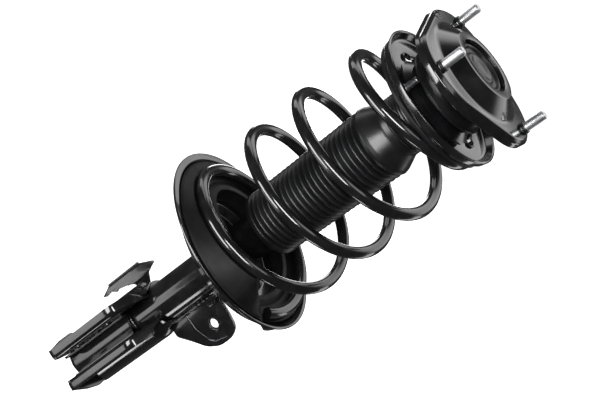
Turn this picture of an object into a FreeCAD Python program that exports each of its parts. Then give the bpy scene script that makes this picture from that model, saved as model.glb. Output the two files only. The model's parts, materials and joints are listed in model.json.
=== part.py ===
"""Front strut assembly: top mount, bearing, coil spring, damper and knuckle bracket.

The origin is the centre of the stud pattern, on the top face of the mounting flange. +Z runs up
along the strut, and the knuckle ears point towards -Y. Sizes are in millimetres.
"""
import FreeCAD
import Part
import math
import os
import Sketcher
from FreeCAD import Placement, Rotation, Vector

DIMENSIONS = {
    # top mount
    "gap": 0.1, "running_gap": 0.3, "plate_gauge": 3.5, "skirt_depth": 12,
    "flange_corner_reach": 140, "flange_corner_radius": 52,
    "stud_circle_radius": 77.3, "stud_angle": 12.5, "stud_radius": 5, "stud_height": 26.7,
    "stud_shoulder_radius": 5.6, "stud_head_radius": 6.4, "stud_head_thick": 4,
    "cup_height": 13, "cup_bore_radius": 31.3, "cup_rim_radius": 41, "cup_rim_bend": 1.6,
    "cup_foot_radius": 62, "cup_foot_lap": 6, "cup_depth": 22, "cup_floor_bore_radius": 22,
    "sleeve_radius": 13, "sleeve_top": -8, "sleeve_bottom": -24, "rubber_top": -9.5,
    "washer_radius": 26, "washer_thick": 3, "nut_flats": 22, "nut_height": 8.5,
    "cap_level": 8.5, "cap_wall": 2.4, "cap_dish_radius": 14, "cap_foot": -4,
    # thrust bearing
    "housing_radius": 50, "housing_top": -8, "housing_floor": 0.6, "housing_skirt": 5,
    "housing_foot": -38,
    "race_inner_radius": 29, "race_outer_radius": 42, "race_rim": 1, "upper_race_top": -26.2,
    "ball_level": -33, "ball_radius": 3, "ball_play": 0.02, "ball_circle_radius": 36, "ball_count": 24,
    "groove_half_width": 2.8, "groove_flat": 1.3, "race_face": 1.5,
    "cage_half_width": 4.5, "cage_half_thick": 0.9, "cage_play": 0.12,
    # upper spring seat
    "seat_crown": -39.6, "seat_gauge": 3, "seat_bore_radius": 20, "seat_slope_foot": 55,
    "seat_floor": -50, "seat_heel_radius": 76, "seat_rim_radius": 82.9, "seat_rim_top": -41,
    "seat_band": 7.5, "seat_hole_radius": 8, "seat_hole_reach": 51,
    "pin_radius": 3.5, "pin_reach": 60, "pin_angle": -118, "pin_height": 17,
    "upper_pad_inner": 61, "upper_pad_outer": 78, "upper_pad_thick": 2.6, "upper_pad_lip": 1.4,
    "upper_pad_lip_depth": 4.5,
    "bump_tube_radius": 16.5, "bump_cup_radius": 25, "bump_cup_level": -61, "bump_cup_thick": 3,
    "bump_stop_radius": 22, "bump_stop_waist": 16.5, "bump_stop_foot": 15, "bump_stop_bottom": -126,
    # spring
    "wire_radius": 7, "coil_radius": 91.2, "coil_start": -348, "coil_tip_angle": -30, "coil_turns": 4.33,
    "low_turns": 0.583, "low_pitch": 43, "open_pitch": 77.4, "closing_turn": 3.934, "pitch_blend": 0.11,
    "coil_taper": 5, "draw_in": 17.2, "draw_start": 3.6, "draw_end": 4.02, "coil_stations": 20,
    "coil_spans": 9,
    # dust boot and its cap
    "boot_radius": 42, "boot_wall": 6, "boot_top": -97, "boot_bottom": -300,
    "boot_cap_wall": 3, "boot_cap_shoulder": 8, "boot_cap_bevel": 5, "boot_cap_bore": 28,
    # damper
    "tube_radius": 25.4, "tube_wall": 2.4, "tube_top": -290, "tube_bottom": -651, "end_cap_thick": 4,
    "end_cap_bevel": 3, "rod_radius": 11, "rod_shoulder": -24.2, "rod_thread_radius": 7, "rod_top": 3,
    "rod_end": -346, "rod_tail_radius": 6, "rod_tail": 8,
    "piston_radius": 15.9, "piston_thick": 14, "piston_play": 0.3, "piston_land": 4, "piston_groove": 1.6,
    "piston_nut_radius": 9.9, "piston_nut_height": 7, "rebound_stop_height": 10,
    "pressure_radius": 16, "pressure_wall": 1.5, "pressure_top": -312, "pressure_bottom": -640,
    "valve_flange": 4, "valve_spigot": 8, "guide_top": -301, "guide_spigot": 6,
    "bush_play": 0.06, "bush_wall": 1.5, "seal_top": -296.2, "closing_clearance": 2,
    # lower spring seat, tilted on the tube
    "pan_x": -4.3, "pan_y": -6.5, "pan_level": -336.7, "pan_slope_x": 0.068, "pan_slope_y": 0.102,
    "pan_radius": 115.6, "pan_lip": 7.5, "pan_depth": 20, "pan_gauge": 3, "pan_draft": 1.5,
    "pan_step_radius": 60, "pan_step_depth": 8, "pan_step_width": 8,
    "pan_collar_radius": 30, "pan_collar_length": 30, "pan_collar_overlap": 4,
    "lower_pad_inner": 69, "lower_pad_shelf": 101, "lower_pad_clearance": 5, "lower_pad_least": 1.5,
    "lower_pad_peak": 294, "lower_pad_foot": 330,
    # knuckle bracket
    "bracket_turn": -7, "bracket_gauge": 4.6, "bracket_top": -490, "bracket_bottom": -640,
    "ear_gap": 30, "ear_reach": 64, "ear_root": 12, "lip_width": 14, "lip_top": -519,
    "knuckle_bore_radius": 7.5, "knuckle_bore_reach": 47, "upper_bore_level": -549,
    "lower_bore_level": -609, "stiffener_top": -529, "stiffener_bottom": -648,
    # side brackets
    "link_gauge": 5, "link_x": 57, "link_level": -449, "link_bore_radius": 6.5, "link_eye_radius": 27,
    "link_root_top": -419, "link_toe_x": 44, "link_toe_level": -506, "link_chin": 8.5,
    "hose_gauge": 2.5, "hose_edge_x": -57.5, "hose_level": -508, "hose_half_height": 28,
    "hose_flange": 13, "hose_arm": 17,
}

doc = FreeCAD.newDocument("strut_assembly")
sheet = doc.addObject("Spreadsheet::Sheet", "dim")
nodes = []


def fill_sheet():
    """Write every driving dimension in the sheet, one named cell each."""
    for row, (alias, size) in enumerate(DIMENSIONS.items(), start=1):
        sheet.set(f"A{row}", alias)
        sheet.set(f"B{row}", str(size))
        sheet.setAlias(f"B{row}", alias)
    doc.recompute()


def size(expression):
    """The present value of an expression on the sheet."""
    return float(sheet.evalExpression(str(expression)))


def bind(thing, **properties):
    """Tie properties to the sheet; a double underscore stands for a dot."""
    for name, expression in properties.items():
        path = name.replace("__", ".")
        thing.setExpression("." + path if "." in path else path, str(expression))


def named(thing, label):
    """Give a finished sub-part its own label and list it for export."""
    thing.Label = label
    nodes.append(thing)
    return thing


def new_body(label):
    return named(doc.addObject("PartDesign::Body", label), label)


def attached_sketch(body, role):
    sketch = body.newObject("Sketcher::SketchObject", body.Name + "_sketch")
    plane = next(f for f in body.Origin.OriginFeatures if f.Role == role)
    sketch.AttachmentSupport = [(plane, "")]
    sketch.MapMode = "FlatFace"
    return sketch


def bound_constraint(sketch, kind, expression, *where):
    index = sketch.addConstraint(Sketcher.Constraint(kind, *where, size(expression)))
    sketch.setExpression(f"Constraints[{index}]", str(expression))


def draw_polygon(sketch, corners):
    """A closed outline whose corners are pairs of expressions."""
    values = [Vector(size(u), size(v), 0) for u, v in corners]
    first = sketch.GeometryCount
    for start, end in zip(values, values[1:] + values[:1]):
        sketch.addGeometry(Part.LineSegment(start, end), False)
    count = len(corners)
    for i, (u, v) in enumerate(corners):
        sketch.addConstraint(Sketcher.Constraint("Coincident", first + i, 2, first + (i + 1) % count, 1))
        bound_constraint(sketch, "DistanceX", u, -1, 1, first + i, 1)
        bound_constraint(sketch, "DistanceY", v, -1, 1, first + i, 1)


def draw_circle(sketch, u, v, radius):
    index = sketch.GeometryCount
    circle = Part.Circle(Vector(size(u), size(v), 0), Vector(0, 0, 1), size(radius))
    sketch.addGeometry(circle, False)
    bound_constraint(sketch, "DistanceX", u, -1, 1, index, 3)
    bound_constraint(sketch, "DistanceY", v, -1, 1, index, 3)
    bound_constraint(sketch, "Radius", radius, index)


def turn_profile(body, corners):
    """Revolve a half section, given as (radius, height) pairs, about the strut axis."""
    sketch = attached_sketch(body, "XZ_Plane")
    draw_polygon(sketch, corners)
    feature = body.newObject("PartDesign::Revolution", body.Name + "_turn")
    feature.Profile = sketch
    feature.ReferenceAxis = (sketch, ["V_Axis"])
    feature.Angle = 360
    body.Tip = feature
    return body


def turned(label, corners):
    return turn_profile(new_body(label), corners)


def ring(label, inner, outer, bottom, top):
    """A plain ring of rectangular section."""
    return turned(label, [(inner, bottom), (outer, bottom), (outer, top), (inner, top)])


def box(name, x, y, z, length, width, height):
    """A primitive box: its low corner, then its sizes, all as expressions."""
    piece = doc.addObject("Part::Box", name)
    bind(piece, Length=length, Width=width, Height=height)
    bind(piece, Placement__Base__x=x, Placement__Base__y=y, Placement__Base__z=z)
    return piece


def cylinder(name, radius, height, x=0, y=0, z=0, rotation=None):
    piece = doc.addObject("Part::Cylinder", name)
    if rotation:
        piece.Placement = Placement(Vector(), rotation)
    bind(piece, Radius=radius, Height=height)
    bind(piece, Placement__Base__x=x, Placement__Base__y=y, Placement__Base__z=z)
    return piece


def fused(name, pieces):
    whole = doc.addObject("Part::MultiFuse", name)
    whole.Shapes = pieces
    return whole


def cut(name, base, tools):
    """The base less the tools."""
    result = doc.addObject("Part::Cut", name)
    result.Base = base
    result.Tool = tools[0] if len(tools) == 1 else fused(name + "_tools", tools)
    return result


PAD_STEP = 15
ALONG_X = Rotation(Vector(0, 1, 0), 90)
ALONG_Y = Rotation(Vector(1, 0, 0), -90)


# --- top mount -------------------------------------------------------------------------------


def make_mount_plate():
    """Pressed flange: a rounded triangle with a turned-down skirt and a raised cup."""
    body = new_body("mount_plate")
    sketch = attached_sketch(body, "XY_Plane")
    corners = [f"dim.stud_angle + {turn}" for turn in (0, 120, 240)]
    draw_polygon(sketch, [(f"dim.flange_corner_reach * cos({a})", f"dim.flange_corner_reach * sin({a})")
                          for a in corners])
    pad = body.newObject("PartDesign::Pad", "flange_pad")
    pad.Profile = sketch
    pad.Reversed = True
    bind(pad, Length="dim.skirt_depth")
    body.Tip = pad
    doc.recompute()
    rounding = body.newObject("PartDesign::Fillet", "flange_corners")
    upright = [f"Edge{i + 1}" for i, e in enumerate(pad.Shape.Edges) if e.BoundBox.ZLength > 1]
    rounding.Base = (pad, upright)
    bind(rounding, Radius="dim.flange_corner_radius")
    body.Tip = rounding
    doc.recompute()
    shell = body.newObject("PartDesign::Thickness", "flange_shell")
    floor = min(enumerate(rounding.Shape.Faces), key=lambda f: f[1].CenterOfMass.z)[0]
    shell.Base = (rounding, [f"Face{floor + 1}"])
    shell.Reversed = True
    bind(shell, Value="dim.plate_gauge")
    body.Tip = shell
    doc.recompute()
    opening = attached_sketch(body, "XY_Plane")
    draw_circle(opening, "0", "0", "dim.cup_foot_radius - dim.cup_foot_lap")
    for turn in (0, 120, 240):
        angle = f"(dim.stud_angle + {turn})"
        draw_circle(opening, f"dim.stud_circle_radius * cos({angle})",
                    f"dim.stud_circle_radius * sin({angle})", "dim.stud_shoulder_radius + dim.gap")
    hole = body.newObject("PartDesign::Pocket", "flange_holes")
    hole.Profile = opening
    hole.Midplane = True
    bind(hole, Length="3 * dim.skirt_depth")
    body.Tip = hole
    outer = "dim.cup_bore_radius + dim.plate_gauge"
    turn_profile(body, [
        ("dim.cup_foot_radius", "0"), ("dim.cup_rim_radius", "dim.cup_height"),
        ("dim.cup_bore_radius", "dim.cup_height"), ("dim.cup_bore_radius", "-dim.cup_depth"),
        ("dim.cup_floor_bore_radius", "-dim.cup_depth"),
        ("dim.cup_floor_bore_radius", "-dim.cup_depth - dim.plate_gauge"),
        (outer, "-dim.cup_depth - dim.plate_gauge"), (outer, "dim.cup_height - dim.plate_gauge"),
        ("dim.cup_rim_radius - dim.cup_rim_bend", "dim.cup_height - dim.plate_gauge"),
        ("dim.cup_foot_radius - dim.cup_foot_lap", "-dim.plate_gauge"),
        ("dim.cup_foot_radius", "-dim.plate_gauge")])


def make_tower_studs():
    """Three pressed-in studs: a shoulder in the flange, and a head under it."""
    studs = []
    for index, turn in enumerate((0, 120, 240)):
        x = f"dim.stud_circle_radius * cos(dim.stud_angle + {turn})"
        y = f"dim.stud_circle_radius * sin(dim.stud_angle + {turn})"
        shank = cylinder(f"stud_shank_{index}", "dim.stud_radius", "dim.stud_height", x, y)
        shoulder = cylinder(f"stud_shoulder_{index}", "dim.stud_shoulder_radius",
                            "dim.plate_gauge + dim.gap", x, y, "-dim.plate_gauge - dim.gap")
        head = cylinder(f"stud_head_{index}", "dim.stud_head_radius", "dim.stud_head_thick", x, y,
                        "-dim.plate_gauge - dim.gap - dim.stud_head_thick")
        studs.append(fused(f"stud_{index}", [shank, shoulder, head]))
    group = doc.addObject("Part::Compound", "tower_studs")
    group.Links = studs
    named(group, "tower_studs")


def make_mount_core():
    """Bonded rubber, its inner sleeve, the clamping washer and nut, and the snap-in cap."""
    ring("mount_rubber", "dim.sleeve_radius + dim.gap", "dim.cup_bore_radius - dim.gap",
         "-dim.cup_depth + dim.gap", "dim.rubber_top")
    ring("mount_inner_sleeve", "dim.rod_thread_radius + dim.gap", "dim.sleeve_radius",
         "dim.sleeve_bottom", "dim.sleeve_top")
    ring("clamp_washer", "dim.rod_thread_radius + dim.gap", "dim.washer_radius",
         "dim.sleeve_top + dim.gap", "dim.sleeve_top + dim.washer_thick")
    nut = new_body("rod_nut")
    sketch = attached_sketch(nut, "XY_Plane")
    draw_polygon(sketch, [(f"dim.nut_flats / sqrt(3) * cos({a})", f"dim.nut_flats / sqrt(3) * sin({a})")
                          for a in range(0, 360, 60)])
    draw_circle(sketch, "0", "0", "dim.rod_thread_radius + dim.gap")
    pad = nut.newObject("PartDesign::Pad", "nut_pad")
    pad.Profile = sketch
    bind(pad, Length="dim.nut_height")
    nut.Tip = pad
    bind(nut, Placement__Base__z="dim.sleeve_top + dim.washer_thick + dim.gap")
    wall = "dim.cup_bore_radius - dim.cap_wall"
    rim = "dim.cup_bore_radius - dim.gap"
    turned("dust_cap", [
        ("0", "dim.cap_level - 2 * dim.cap_wall"), ("dim.cap_dish_radius", "dim.cap_level - dim.cap_wall"),
        (wall, "dim.cap_level - dim.cap_wall"), (wall, "dim.cap_foot"), (rim, "dim.cap_foot"),
        (rim, "dim.cap_level"), ("dim.cap_dish_radius", "dim.cap_level"),
        ("0", "dim.cap_level - dim.cap_wall")])


def make_bump_stop():
    """Fixed tube with a cup at its foot, and the foam stop below it."""
    inner = "dim.rod_radius + dim.running_gap"
    tube_top = "-dim.cup_depth - dim.plate_gauge - dim.gap"
    cup_top = "dim.bump_cup_level + dim.bump_cup_thick"
    turned("bump_stop_cup", [
        (inner, "dim.bump_cup_level"), ("dim.bump_cup_radius", "dim.bump_cup_level"),
        ("dim.bump_cup_radius", cup_top), ("dim.bump_tube_radius", cup_top),
        ("dim.bump_tube_radius", tube_top), (inner, tube_top)])
    top, bottom = "dim.bump_cup_level - dim.gap", "dim.bump_stop_bottom"
    lobe = f"({top} - {bottom}) / 4"
    turned("bump_stop", [
        (inner, bottom), ("dim.bump_stop_foot", bottom), ("dim.bump_stop_radius - 2", f"{bottom} + {lobe}"),
        ("dim.bump_stop_waist", f"{bottom} + 1.5 * {lobe}"),
        ("dim.bump_stop_radius", f"{bottom} + 2 * {lobe}"),
        ("dim.bump_stop_waist", f"{bottom} + 3 * {lobe}"), ("dim.bump_stop_radius", top), (inner, top)])


# --- thrust bearing --------------------------------------------------------------------------


def make_bearing():
    """Housing and upper race on the mount, a ball cage, and the lower race on the spring seat."""
    bore = "dim.cup_bore_radius + dim.plate_gauge + dim.gap"
    floor = "dim.upper_race_top + dim.housing_floor"
    skirt = "dim.housing_radius - dim.housing_skirt"
    turned("bearing_housing", [
        ("dim.race_inner_radius", "dim.upper_race_top"), (skirt, "dim.upper_race_top"),
        (skirt, "dim.housing_foot"), ("dim.housing_radius - 1", "dim.housing_foot"),
        ("dim.housing_radius", "dim.housing_foot + 1"), ("dim.housing_radius", "dim.housing_top"),
        (bore, "dim.housing_top"), (bore, floor), ("dim.race_inner_radius", floor)])
    turned("bearing_upper_race", race_profile("dim.upper_race_top - dim.gap", 1))
    turned("bearing_lower_race", race_profile("dim.seat_crown + dim.gap", -1))
    make_ball_cage()
    balls = []
    for index in range(int(size("dim.ball_count"))):
        ball = doc.addObject("Part::Sphere", f"ball_{index}")
        angle = f"360 deg * {index} / dim.ball_count"
        bind(ball, Radius="dim.ball_radius - dim.ball_play", Placement__Base__z="dim.ball_level",
             Placement__Base__x=f"dim.ball_circle_radius * cos({angle})",
             Placement__Base__y=f"dim.ball_circle_radius * sin({angle})")
        balls.append(ball)
    group = doc.addObject("Part::Compound", "bearing_balls")
    group.Links = balls
    named(group, "bearing_balls")


def race_profile(back, side):
    """Half section of a race: side is 1 above the balls and -1 below them."""
    face = f"dim.ball_level + {side} * dim.race_face"
    deep = f"dim.ball_level + {side} * (dim.ball_radius + dim.ball_play)"
    rim, middle = "dim.race_outer_radius + dim.race_rim", "dim.ball_circle_radius"
    return [("dim.race_inner_radius", back), (rim, back), (rim, face),
            (f"{middle} + dim.groove_half_width", face), (f"{middle} + dim.groove_flat", deep),
            (f"{middle} - dim.groove_flat", deep), (f"{middle} - dim.groove_half_width", face),
            ("dim.race_inner_radius", face)]


def make_ball_cage():
    """Flat ring with one round window for each ball."""
    cage = new_body("ball_cage")
    inside = "dim.ball_circle_radius - dim.cage_half_width"
    outside = "dim.ball_circle_radius + dim.cage_half_width"
    low, high = "dim.ball_level - dim.cage_half_thick", "dim.ball_level + dim.cage_half_thick"
    turn_profile(cage, [(inside, low), (outside, low), (outside, high), (inside, high)])
    outline = attached_sketch(cage, "XY_Plane")
    draw_circle(outline, "dim.ball_circle_radius", "0", "dim.ball_radius + dim.cage_play")
    window = cage.newObject("PartDesign::Pocket", "cage_window")
    window.Profile = outline
    window.Type = "ThroughAll"
    window.Midplane = True
    windows = cage.newObject("PartDesign::PolarPattern", "cage_windows")
    windows.Originals = [window]
    windows.Axis = (outline, ["N_Axis"])
    windows.Angle = 360
    bind(windows, Occurrences="dim.ball_count")
    cage.Tip = windows


# --- upper spring seat, spring and boot ------------------------------------------------------


def make_upper_seat():
    """Pressed seat: a crown for the bearing, a lower floor for the coil and an upright rim."""
    body = new_body("upper_spring_seat")
    under, inner_rim = "dim.seat_floor - dim.seat_gauge", "dim.seat_rim_radius - dim.seat_gauge"
    heel = "dim.seat_heel_radius"
    turn_profile(body, [
        ("dim.seat_bore_radius", "dim.seat_crown"),
        ("dim.race_outer_radius + dim.race_rim", "dim.seat_crown"),
        ("dim.seat_slope_foot", "dim.seat_floor"), (heel, "dim.seat_floor"),
        (inner_rim, "dim.seat_floor + dim.seat_gauge"), (inner_rim, "dim.seat_rim_top"),
        ("dim.seat_rim_radius", "dim.seat_rim_top"),
        ("dim.seat_rim_radius", "dim.seat_rim_top - dim.seat_band"),
        (f"{heel} + 2", under), ("dim.seat_slope_foot - 1", under),
        ("dim.race_outer_radius", "dim.seat_crown - dim.seat_gauge"),
        ("dim.seat_bore_radius", "dim.seat_crown - dim.seat_gauge")])
    holes = attached_sketch(body, "XY_Plane")
    for side in (-1, 1):
        draw_circle(holes, f"{side} * dim.seat_hole_reach", "0", "dim.seat_hole_radius")
    pocket = body.newObject("PartDesign::Pocket", "seat_holes")
    pocket.Profile = holes
    pocket.Type = "ThroughAll"
    pocket.Midplane = True
    body.Tip = pocket
    pin = cylinder("seat_pin", "dim.pin_radius", "dim.pin_height", "dim.pin_reach * cos(dim.pin_angle)",
                   "dim.pin_reach * sin(dim.pin_angle)", "dim.seat_floor + dim.gap")
    named(pin, "seat_pin")
    top = f"{under} - dim.gap"
    sole, hem = f"{top} - dim.upper_pad_thick", f"{top} - dim.upper_pad_lip_depth"
    outer, lip = "dim.upper_pad_outer", "dim.upper_pad_outer - dim.upper_pad_lip"
    turned("upper_spring_pad", [
        ("dim.upper_pad_inner", top), (outer, top), (f"{outer} - dim.gap", hem), (lip, hem), (lip, sole),
        ("dim.upper_pad_inner", sole)])


def ease(value, start, end):
    """Smooth rise from 0 at the start to 1 at the end."""
    share = min(max((value - start) / (end - start), 0), 1)
    return share * share * (3 - 2 * share)


def coil_pitch(turn):
    """Rise per turn: close at the lower end, open along the middle, level at the upper end."""
    blend = size("dim.pitch_blend")
    opening = ease(turn, size("dim.low_turns") - blend, size("dim.low_turns") + blend)
    closing = ease(turn, size("dim.closing_turn") - blend, size("dim.closing_turn") + blend)
    return size("dim.low_pitch") * (1 - opening) + size("dim.open_pitch") * (opening - closing)


def coil_heights(stations):
    """Height of the wire's centre at every station from the lower tip up, evenly spaced in turns."""
    step = size("dim.coil_turns") / stations
    heights = [size("dim.coil_start")]
    for station in range(stations):
        heights.append(heights[-1] + step * coil_pitch((station + 0.5) * step))
    return heights


def coil_reach(turn):
    """Distance of the wire's centre from the axis, drawn in under the upper seat."""
    taper = size("dim.coil_taper") * ease(turn, size("dim.low_turns"), size("dim.draw_start"))
    drawn = size("dim.draw_in") * ease(turn, size("dim.draw_start"), size("dim.draw_end"))
    return size("dim.coil_radius") - taper - drawn


def make_spring():
    """One wound wire: a close lower end, open working coils, and a last turn drawn in under the seat."""
    stations = int(size("dim.coil_stations * dim.coil_turns"))
    points = []
    for station, height in enumerate(coil_heights(stations)):
        turn = size("dim.coil_turns") * station / stations
        angle = math.radians(size("dim.coil_tip_angle") + 360 * turn)
        points.append(Vector(coil_reach(turn) * math.cos(angle), coil_reach(turn) * math.sin(angle), height))
    centre_line = Part.BSplineCurve()
    centre_line.interpolate(points)
    direction = centre_line.tangent(centre_line.FirstParameter)[0]
    spans = int(size("dim.coil_spans"))
    length = centre_line.LastParameter - centre_line.FirstParameter
    ends = [centre_line.FirstParameter + length * span / spans for span in range(spans + 1)]
    edges = [centre_line.toShape(start, end) for start, end in zip(ends, ends[1:])]
    section = Part.Circle(points[0], direction, size("dim.wire_radius"))
    sweep = Part.BRepOffsetAPI.MakePipeShell(Part.Wire(edges))
    sweep.setBiNormalMode(Vector(0, 0, 1))
    sweep.add(Part.Wire([section.toShape()]), False, False)
    sweep.build()
    sweep.makeSolid()
    spring = doc.addObject("Part::Feature", "coil_spring")
    spring.Shape = sweep.shape()
    named(spring, "coil_spring")


def make_boot():
    """The pleated dust boot as a closed sleeve, and the smooth cap that it hangs from."""
    ring("dust_boot", "dim.boot_radius - dim.boot_wall", "dim.boot_radius", "dim.boot_bottom", "dim.boot_top")
    top = "dim.seat_floor - dim.seat_gauge - dim.gap"
    shoulder, foot = f"{top} - dim.boot_cap_shoulder", "dim.boot_top + dim.gap"
    inside = "dim.boot_radius - dim.boot_cap_wall"
    turned("boot_cap", [
        ("dim.boot_cap_bore", top), ("dim.boot_radius - dim.boot_cap_bevel", top),
        ("dim.boot_radius", shoulder), ("dim.boot_radius", foot), (inside, foot), (inside, shoulder),
        (f"{inside} - dim.boot_cap_bevel", f"{top} - dim.boot_cap_wall"),
        ("dim.boot_cap_bore", f"{top} - dim.boot_cap_wall")])


# --- damper ----------------------------------------------------------------------------------


def make_rod():
    """The rod and what it carries inside the damper."""
    tail = "dim.rod_end - dim.piston_thick - dim.rod_tail"
    turned("piston_rod", [
        ("0", tail), ("dim.rod_tail_radius", tail), ("dim.rod_tail_radius", "dim.rod_end"),
        ("dim.rod_radius", "dim.rod_end"), ("dim.rod_radius", "dim.rod_shoulder"),
        ("dim.rod_thread_radius", "dim.rod_shoulder"), ("dim.rod_thread_radius", "dim.rod_top"),
        ("0", "dim.rod_top")])
    bore = "dim.rod_tail_radius + dim.gap"
    skirt, groove = "dim.piston_radius - dim.piston_play", "dim.piston_radius - dim.piston_groove"
    piston_bottom, piston_top = "dim.rod_end - dim.piston_thick", "dim.rod_end - dim.gap"
    ring_low, ring_high = f"{piston_bottom} + dim.piston_land", "dim.rod_end - dim.piston_land"
    turned("piston", [
        (bore, piston_bottom), (skirt, piston_bottom), (skirt, ring_low), (groove, ring_low),
        (groove, ring_high), (skirt, ring_high), (skirt, piston_top), (bore, piston_top)])
    ring("piston_ring", f"{groove} + dim.gap", "dim.piston_radius", f"{ring_low} + dim.gap",
         f"{ring_high} - dim.gap")
    ring("piston_nut", bore, "dim.piston_nut_radius", f"{piston_bottom} - dim.piston_nut_height",
         f"{piston_bottom} - dim.gap")
    ring("rebound_stop", "dim.rod_radius + dim.gap", "dim.piston_radius - 2 * dim.piston_play",
         "dim.rod_end", "dim.rod_end + dim.rebound_stop_height")


def make_damper_tube():
    """Outer tube, base cap, inner tube, base valve, rod guide with bush, seal and closing ring."""
    inside = "dim.tube_radius - dim.tube_wall"
    fit = f"{inside} - dim.gap"
    bottom = "dim.tube_bottom"
    ring("strut_tube", inside, "dim.tube_radius", bottom, "dim.tube_top")
    turned("tube_end_cap", [
        ("0", f"{bottom} - dim.end_cap_thick"),
        ("dim.tube_radius - dim.end_cap_bevel", f"{bottom} - dim.end_cap_thick"),
        ("dim.tube_radius", f"{bottom} - dim.gap"), (fit, f"{bottom} - dim.gap"),
        (fit, f"{bottom} + dim.end_cap_thick"), ("0", f"{bottom} + dim.end_cap_thick")])
    ring("pressure_tube", "dim.pressure_radius", "dim.pressure_radius + dim.pressure_wall",
         "dim.pressure_bottom", "dim.pressure_top")
    valve_low, valve_face = f"{bottom} + dim.end_cap_thick + dim.gap", "dim.pressure_bottom - dim.gap"
    spigot, valve_top = "dim.pressure_radius - dim.gap", "dim.pressure_bottom + dim.valve_spigot"
    flange = "dim.pressure_radius + dim.valve_flange"
    turned("base_valve", [
        ("0", valve_low), (flange, valve_low), (flange, valve_face), (spigot, valve_face),
        (spigot, valve_top), ("0", valve_top)])
    bush = "dim.rod_radius + dim.bush_play"
    bush_seat = f"{bush} + dim.bush_wall + dim.gap"
    guide_low, guide_face = "dim.pressure_top - dim.guide_spigot", "dim.pressure_top + dim.gap"
    turned("rod_guide", [
        (bush_seat, guide_low), (spigot, guide_low), (spigot, guide_face), (fit, guide_face),
        (fit, "dim.guide_top"), (bush_seat, "dim.guide_top")])
    ring("guide_bush", bush, f"{bush} + dim.bush_wall", f"{guide_low} + dim.gap", "dim.guide_top - dim.gap")
    ring("rod_seal", bush, fit, "dim.guide_top + dim.gap", "dim.seal_top")
    ring("closing_ring", "dim.rod_radius + dim.closing_clearance", fit, "dim.seal_top + dim.gap",
         "dim.tube_top")


# --- lower spring seat -----------------------------------------------------------------------


def pan_rotation():
    normal = Vector(size("dim.pan_slope_x"), size("dim.pan_slope_y"), 1)
    return Rotation(Vector(0, 0, 1), normal)


def make_lower_seat():
    """Dished pan with a flat lip, tilted on the tube, and a sleeve that is welded to the tube."""
    pan = doc.addObject("PartDesign::Body", "pan")
    wall, step = "dim.pan_radius - dim.pan_lip", "dim.pan_step_radius"
    shelf, floor = "-dim.pan_depth", "-dim.pan_depth - dim.pan_step_depth"
    gauge, half = "dim.pan_gauge", "dim.pan_gauge / 2"
    turn_profile(pan, [
        ("0", floor), (f"{step} - dim.pan_step_width", floor), (step, shelf),
        (f"{wall} - dim.pan_draft", shelf), (wall, "0"), ("dim.pan_radius", "0"),
        ("dim.pan_radius", f"-{gauge}"), (f"{wall} + {gauge}", f"-{gauge}"),
        (f"{wall} + {gauge} - dim.pan_draft", f"{shelf} - {gauge}"),
        (f"{step} + {half}", f"{shelf} - {gauge}"),
        (f"{step} - dim.pan_step_width + {half}", f"{floor} - {gauge}"), ("0", f"{floor} - {gauge}")])
    pan.Placement = Placement(Vector(), pan_rotation())
    bind(pan, Placement__Base__x="dim.pan_x", Placement__Base__y="dim.pan_y",
         Placement__Base__z="dim.pan_level")
    sleeve_top = f"dim.pan_level {floor} + dim.pan_collar_overlap"
    sleeve = cylinder("pan_sleeve", "dim.pan_collar_radius", "dim.pan_collar_length",
                      z=f"{sleeve_top} - dim.pan_collar_length")
    bore = cylinder("pan_bore", "dim.tube_radius + dim.gap", "4 * dim.pan_collar_length",
                    z=f"{sleeve_top} - 2 * dim.pan_collar_length")
    named(cut("lower_seat", fused("lower_seat_whole", [pan, sleeve]), [bore]), "lower_spring_seat")


def pan_height(x, y, below):
    """Height at (x, y) of the plane that lies the given depth below the tilted lip."""
    slope_x, slope_y = size("dim.pan_slope_x"), size("dim.pan_slope_y")
    lean = math.sqrt(1 + slope_x ** 2 + slope_y ** 2)
    rise = -slope_x * (x - size("dim.pan_x")) - slope_y * (y - size("dim.pan_y"))
    return size("dim.pan_level") + rise - below * lean


def wire_underside(angle):
    """Height of the underside of the wire, by the angle in degrees round from its lower tip."""
    stations = int(size("360 * dim.coil_turns") / PAD_STEP)
    heights = coil_heights(stations)
    place = angle / 360 / size("dim.coil_turns") * stations
    station = int(place)
    between = heights[station + 1] - heights[station]
    return heights[station] + between * (place - station) - size("dim.wire_radius")


def pad_crest(turn):
    """Height of the pad under the wire: it climbs with the wire, then slides back down."""
    tip = size("dim.coil_tip_angle") + 360
    peak, foot = size("dim.lower_pad_peak"), size("dim.lower_pad_foot")
    low = wire_underside(0) - size("dim.running_gap")
    if turn >= tip:
        return low
    climb = wire_underside(max(min(turn, peak) + 360 - tip, 0)) - size("dim.running_gap")
    slide = max(0.0, (turn - peak) / (foot - peak))
    return climb + (low - climb) * min(slide, 1.0)


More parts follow.
